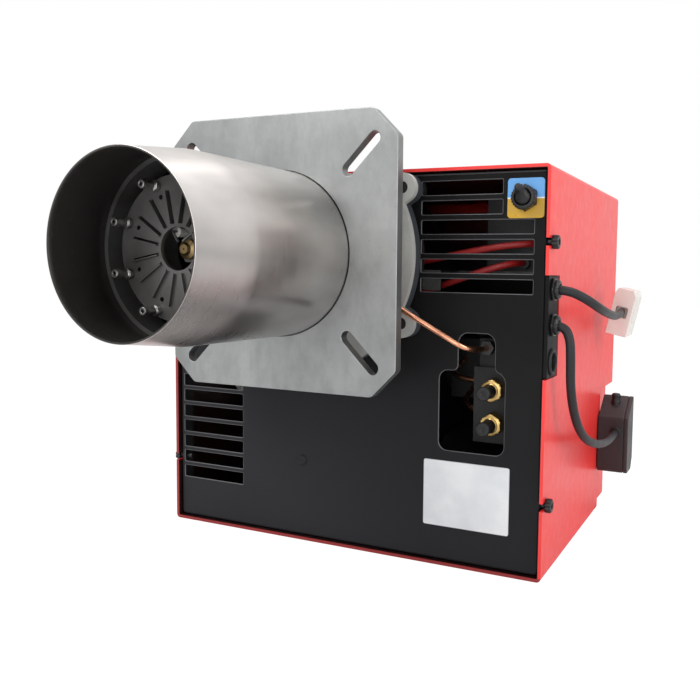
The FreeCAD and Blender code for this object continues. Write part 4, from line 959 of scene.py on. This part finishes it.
def starKnobs():
    profile = bevelled(knobs["rows"])
    many, deep = knobs["grooves"]

    def lobed(angle, along):
        groove = deep * (0.5 + 0.5 * math.cos(many * angle)) ** 3
        return 1 - groove if along > -0.0001 else 1

    forms = []
    for level in knobs["levels"]:
        for way, face in (("x", knobs["right"]), ("-x", knobs["left"])):
            forms.append((profile, (face, knobs["y"], level), way, {"steps": 96, "form": lobed}))
    newPiece("starKnobs", lathe("starKnobs", forms), "hood_screws", "blackPlastic")


starKnobs()
# (radius, along) rows of a nipple's stem and of the cap on it
hose = {
    "x": 0.1715, "face": 0.096, "levels": (-0.1195, -0.151), "nut": (0.019, 0.014),
    "stem": [(0.0070, 0.0138), (0.0070, 0.0150), (0.0056, 0.0156), (0.0056, 0.0310), (0.0046, 0.0324),
             (0.0, 0.0325)],
    "cap": [(0.00575, 0.0172), (0.0065, 0.0172), (0.0065, 0.0186), (0.0061, 0.0192), (0.0061, 0.0318),
            (0.0065, 0.0324), (0.0065, 0.0336), (0.0056, 0.0349), (0.0022, 0.0349), (0.0016, 0.0343),
            (0.0, 0.0343)],
}


def hoseNipples():
    forms = []
    for level in hose["levels"]:
        place = (hose["x"], hose["face"], level)
        forms += hexNut(*hose["nut"], place, "-y")
        forms.append((bevelled(hose["stem"], 0.0003), place, "-y", {"steps": 40}))
    newPiece("hoseNipples", lathe("hoseNipples", forms), "hose_nipples", "brass")


def nippleCap(name, node, level):
    place = (hose["x"], hose["face"], level)
    mesh = lathe(name, [(bevelled(hose["cap"]), place, "-y", {"form": fluted(18, 0.03)})])
    newPiece(name, mesh, node, "rubber")


hoseNipples()
nippleCap("upperCap", "nipple_cap_upper", hose["levels"][0])
nippleCap("lowerCap", "nipple_cap_lower", hose["levels"][1])

print("cables, leads and plugs")
cables = {
    "cable_mains": {
        "plug": "plug_white", "length": 0.190,
        "points": [
            (0.2228, 0.079, -0.027), (0.2395, 0.079, -0.027), (0.254, 0.084, -0.034),
            (0.262, 0.097, -0.0415), (0.2645, 0.124, -0.0475), (0.263, 0.160, -0.0515),
            (0.2605, 0.199, -0.054), (0.2575, 0.240, -0.0517),
        ],
    },
    "cable_valve": {
        "plug": "plug_black", "length": 0.288,
        "points": [
            (0.2248, 0.079, -0.0575), (0.237, 0.079, -0.0575), (0.2435, 0.078, -0.068),
            (0.2445, 0.0775, -0.086), (0.244, 0.0815, -0.112), (0.246, 0.093, -0.140),
            (0.249, 0.116, -0.161), (0.2515, 0.150, -0.173), (0.252, 0.190, -0.181),
            (0.2505, 0.235, -0.186), (0.2485, 0.278, -0.1865),
        ],
    },
}
leads = {
    "ignition_lead_a": [
        (0.206, 0.117, 0.0135), (0.205, 0.106, 0.0132), (0.196, 0.097, 0.0125), (0.174, 0.0942, 0.0105),
        (0.141, 0.095, 0.005), (0.100, 0.097, -0.003), (0.066, 0.0972, -0.010), (0.031, 0.097, -0.0108),
        (0.0185, 0.076, 0.0), (0.013, 0.050, 0.011), (0.0125, 0.014, 0.016), (0.011, -0.020, 0.015),
        (0.010, -0.050, 0.013),
    ],
    "ignition_lead_b": [
        (0.188, 0.117, -0.004), (0.187, 0.106, -0.0044), (0.1785, 0.0975, -0.0058), (0.154, 0.0945, -0.0128),
        (0.126, 0.095, -0.023), (0.097, 0.0965, -0.032), (0.064, 0.0976, -0.0428), (0.030, 0.0972, -0.0436),
        (0.013, 0.079, -0.026), (-0.007, 0.062, 0.004), (-0.014, 0.038, 0.0165), (-0.012, 0.002, 0.017),
        (-0.011, -0.026, 0.0155), (-0.010, -0.050, 0.013),
    ],
}


def softLine(name, points, radius):
    curve = bpy.data.curves.new(name, "CURVE")
    curve.dimensions = "3D"
    curve.bevel_depth = radius
    curve.bevel_resolution = 6
    curve.resolution_u = 14
    curve.use_fill_caps = True
    line = curve.splines.new("NURBS")
    line.points.add(len(points) - 1)
    for knot, place in zip(line.points, points):
        knot.co = (*place, 1)
    line.order_u = 3
    line.use_endpoint_u = True
    return curve


lineRadius = {"cable": 0.004, "lead": 0.003}
# a depth is start, end and edge rounding, and the wells are number, first, pitch and radius
plugs = {
    "white": {
        "middle": (0.2568, 0.240, -0.0521), "tilt": 12.3, "half": (0.011, 0.0245), "bevel": (0.003, 0.006),
        "mouth": (-0.0062, 0.0062, -0.0056, 0.0056, 0.002), "wells": (4, 0.0165, 0.011, 0.0032),
        "front": (0.0, 0.0105, 0.0006), "back": (0.0260, 0.040, 0.0006),
        "grip": (0.0104, 0.0262, 0.0001), "gripInset": 0.0004,
        "pads": (0.0112, 0.0008, 0.008, 0.0004), "padDepth": (0.008, 0.034, 0.0003),
        "bands": (0.013, 0.019), "band": 0.002, "bandInset": 0.0001, "bandEdge": 0.0003,
    },
    "black": {
        "left": 0.229, "wide": 0.033, "cover": 0.005, "seam": 0.00015, "edges": (0.0009, 0.0012),
        "core": 0.001, "coreInset": 0.0006, "coreEdge": 0.0002,
        "side": [
            (0.282, -0.232, 0.002), (0.304, -0.232, 0.003), (0.312, -0.220, 0.003), (0.312, -0.150, 0.0015),
            (0.308, -0.150, 0.0015), (0.278, -0.171, 0.004), (0.278, -0.228, 0.003),
        ],
        "stub": [(0.0052, 0.0), (0.0052, 0.0090), (0.0046, 0.0098), (0.0046, 0.0140), (0.0050, 0.0146),
                 (0.0050, 0.0164), (0.0038, 0.0178), (0.0016, 0.0182), (0.0, 0.0182)],
        "stubPlace": (0.2443, 0.299, -0.164),
        "collar": [(0.0050, 0.0), (0.0062, 0.0002), (0.0062, 0.0018), (0.0050, 0.0022), (0.0042, 0.0022)],
        "collarPlace": (0.2485, 0.2782, -0.1865),
    },
}


def whitePlug():
    facts = plugs["white"]
    wide, high = facts["half"]
    off, drop = facts["bevel"]
    outline = wayRound(rounded([
        (-wide, -high, 0.0012), (wide, -high, 0.0012), (wide, high - drop, 0.001),
        (wide - off, high, 0.001), (off - wide, high, 0.001), (-wide, high - drop, 0.001),
    ]), True)
    many, first, pitch, radius = facts["wells"]
    wells = [ring(0, first - pitch * index, radius, 24) for index in range(many)]
    meshes = [
        stamped("plugFront", [outline, box(*facts["mouth"])], *facts["front"]),
        stamped("plugMiddle", [inset(outline, facts["gripInset"])], *facts["grip"]),
        stamped("plugBack", [outline] + wells, *facts["back"]),
    ]
    # a low pad on each broad side, then two fine ribs round the grip
    out, half, long, corner = facts["pads"]
    for place in (-out, out):
        pad = box(place - half, place + half, -long, long, corner)
        meshes.append(stamped("plugRib", [pad], *facts["padDepth"]))
    band = [inset(outline, facts["bandInset"])]
    for start in facts["bands"]:
        meshes.append(stamped("plugBand", band, start, start + facts["band"], facts["bandEdge"]))
    away = Matrix.Translation(facts["middle"]) @ Matrix.Rotation(math.radians(facts["tilt"]), 4, "Y")
    for index, mesh in enumerate(meshes):
        mesh.transform(away)
        flatShaded(newPiece("whitePlug_%d" % index, mesh, "plug_white", "whitePlastic"))


def blackPlug():
    # a base shell and its cover, parted by a fine seam round the right side, where a core shows
    facts = plugs["black"]
    side = wayRound(rounded(facts["side"]), True)
    left, right = facts["left"], facts["left"] + facts["wide"]
    part = right - facts["cover"]
    shells = [(left, part - facts["seam"]), (part + facts["seam"], right)]
    for index, (low, high) in enumerate(shells):
        shell = stamped("blackPlug", [side], low, high, facts["edges"][index], "yz")
        flatShaded(newPiece("blackPlug_%d" % index, shell, "plug_black", "plugBrown"))
    deep = facts["core"]
    loop = inset(side, facts["coreInset"])
    core = stamped("blackPlugCore", [loop], part - deep, part + deep, facts["coreEdge"], "yz")
    newPiece("blackPlug_core", core, "plug_black", "plugBrown")
    # the fluted stub on its top, and the collar round its cable
    stub = bevelled(facts["stub"], 0.0006)
    mesh = lathe("plugStub", [
        (stub, facts["stubPlace"], "z", {"steps": 48, "form": fluted(16, 0.03)}),
        (bevelled(facts["collar"]), facts["collarPlace"], "-y", {"steps": 40}),
    ])
    newPiece("plugStub", mesh, "plug_black", "blackPlastic")


for node, facts in cables.items():
    line = newPiece(node + "_line", softLine(node, facts["points"], lineRadius["cable"]), node, "cableSheath")
for node, points in leads.items():
    newPiece(node + "_line", softLine(node, points, lineRadius["lead"]), node, "redLead")
whitePlug()
blackPlug()

print("studio")
studio = {
    "floor": (0.90, 0.90, 0.91), "reach": 6, "world": 0.5, "glow": 1.10, "share": 0.88,
    "lamps": {
        "key": {"place": (-0.9, -1.5, 1.5), "aim": (0, 0, -0.05), "size": (1.1, 1.1), "power": 26},
        "side": {"place": (1.9, -0.3, 0.7), "aim": (0.1, 0.1, -0.1), "size": (1.0, 1.4), "power": 16},
        "top": {"place": (0.2, 0.4, 1.9), "aim": (0.05, 0.1, 0), "size": (1.6, 1.2), "power": 20},
        "front": {"place": (0.5, -1.9, 0.1), "aim": (0.05, 0, -0.1), "size": (0.9, 0.9), "power": 8},
    },
}


def backdrop():
    # full white to the camera, in reflections and through glass, dimmer as a light
    world = bpy.data.worlds.new("studio")
    scene.world = world
    sky = Tree(world)
    path = sky.add("ShaderNodeLightPath")
    direct = path.out("Is Camera Ray") + path.out("Is Transmission Ray")
    clamped = {"operation": "ADD", "use_clamp": True}
    seen = sky.add("ShaderNodeMath", clamped, {0: direct, 1: path.out("Is Glossy Ray")})
    level = sky.add("ShaderNodeMapRange", None, {0: seen, 3: studio["world"], 4: 1.0})
    sky.feed(sky.nodes["Background"], {0: (1, 1, 1, 1), 1: level})


def whiteFloor():
    # the camera sees the floor mostly as a white glow, so only soft shadows stay on it
    reach = studio["reach"]
    ways = ((-1, -1), (1, -1), (1, 1), (-1, 1))
    corners = [(reach * x, reach * y, floorLevel) for x, y in ways]
    mesh = bpy.data.meshes.new("floor")
    mesh.from_pydata(corners, [], [(0, 1, 2, 3)])
    floor = bpy.data.objects.new("floor", mesh)
    scene.collection.objects.link(floor)
    finish = Finish("floor", Base_Color=(*studio["floor"], 1), Roughness=0.9, Specular_IOR_Level=0.1)
    share = finish.add("ShaderNodeLightPath").out("Is Camera Ray") * studio["share"]
    glow = finish.add("ShaderNodeEmission", None, {0: (1, 1, 1, 1), 1: studio["glow"]})
    blend = finish.add("ShaderNodeMixShader", None, {0: share, 1: Wire(finish, finish.shader), 2: glow})
    finish.feed(finish.nodes["Material Output"], {0: blend})
    mesh.materials.append(finish.material)


def lamp(name, place, aim, size, power):
    data = bpy.data.lights.new(name, "AREA")
    data.shape = "RECTANGLE"
    data.size, data.size_y = size
    data.energy = power
    item = bpy.data.objects.new(name, data)
    item.location = place
    item.rotation_euler = (Vector(aim) - Vector(place)).to_track_quat("-Z", "Y").to_euler()
    scene.collection.objects.link(item)


backdrop()
whiteFloor()
for name, facts in studio["lamps"].items():
    lamp(name, **facts)

print("done")
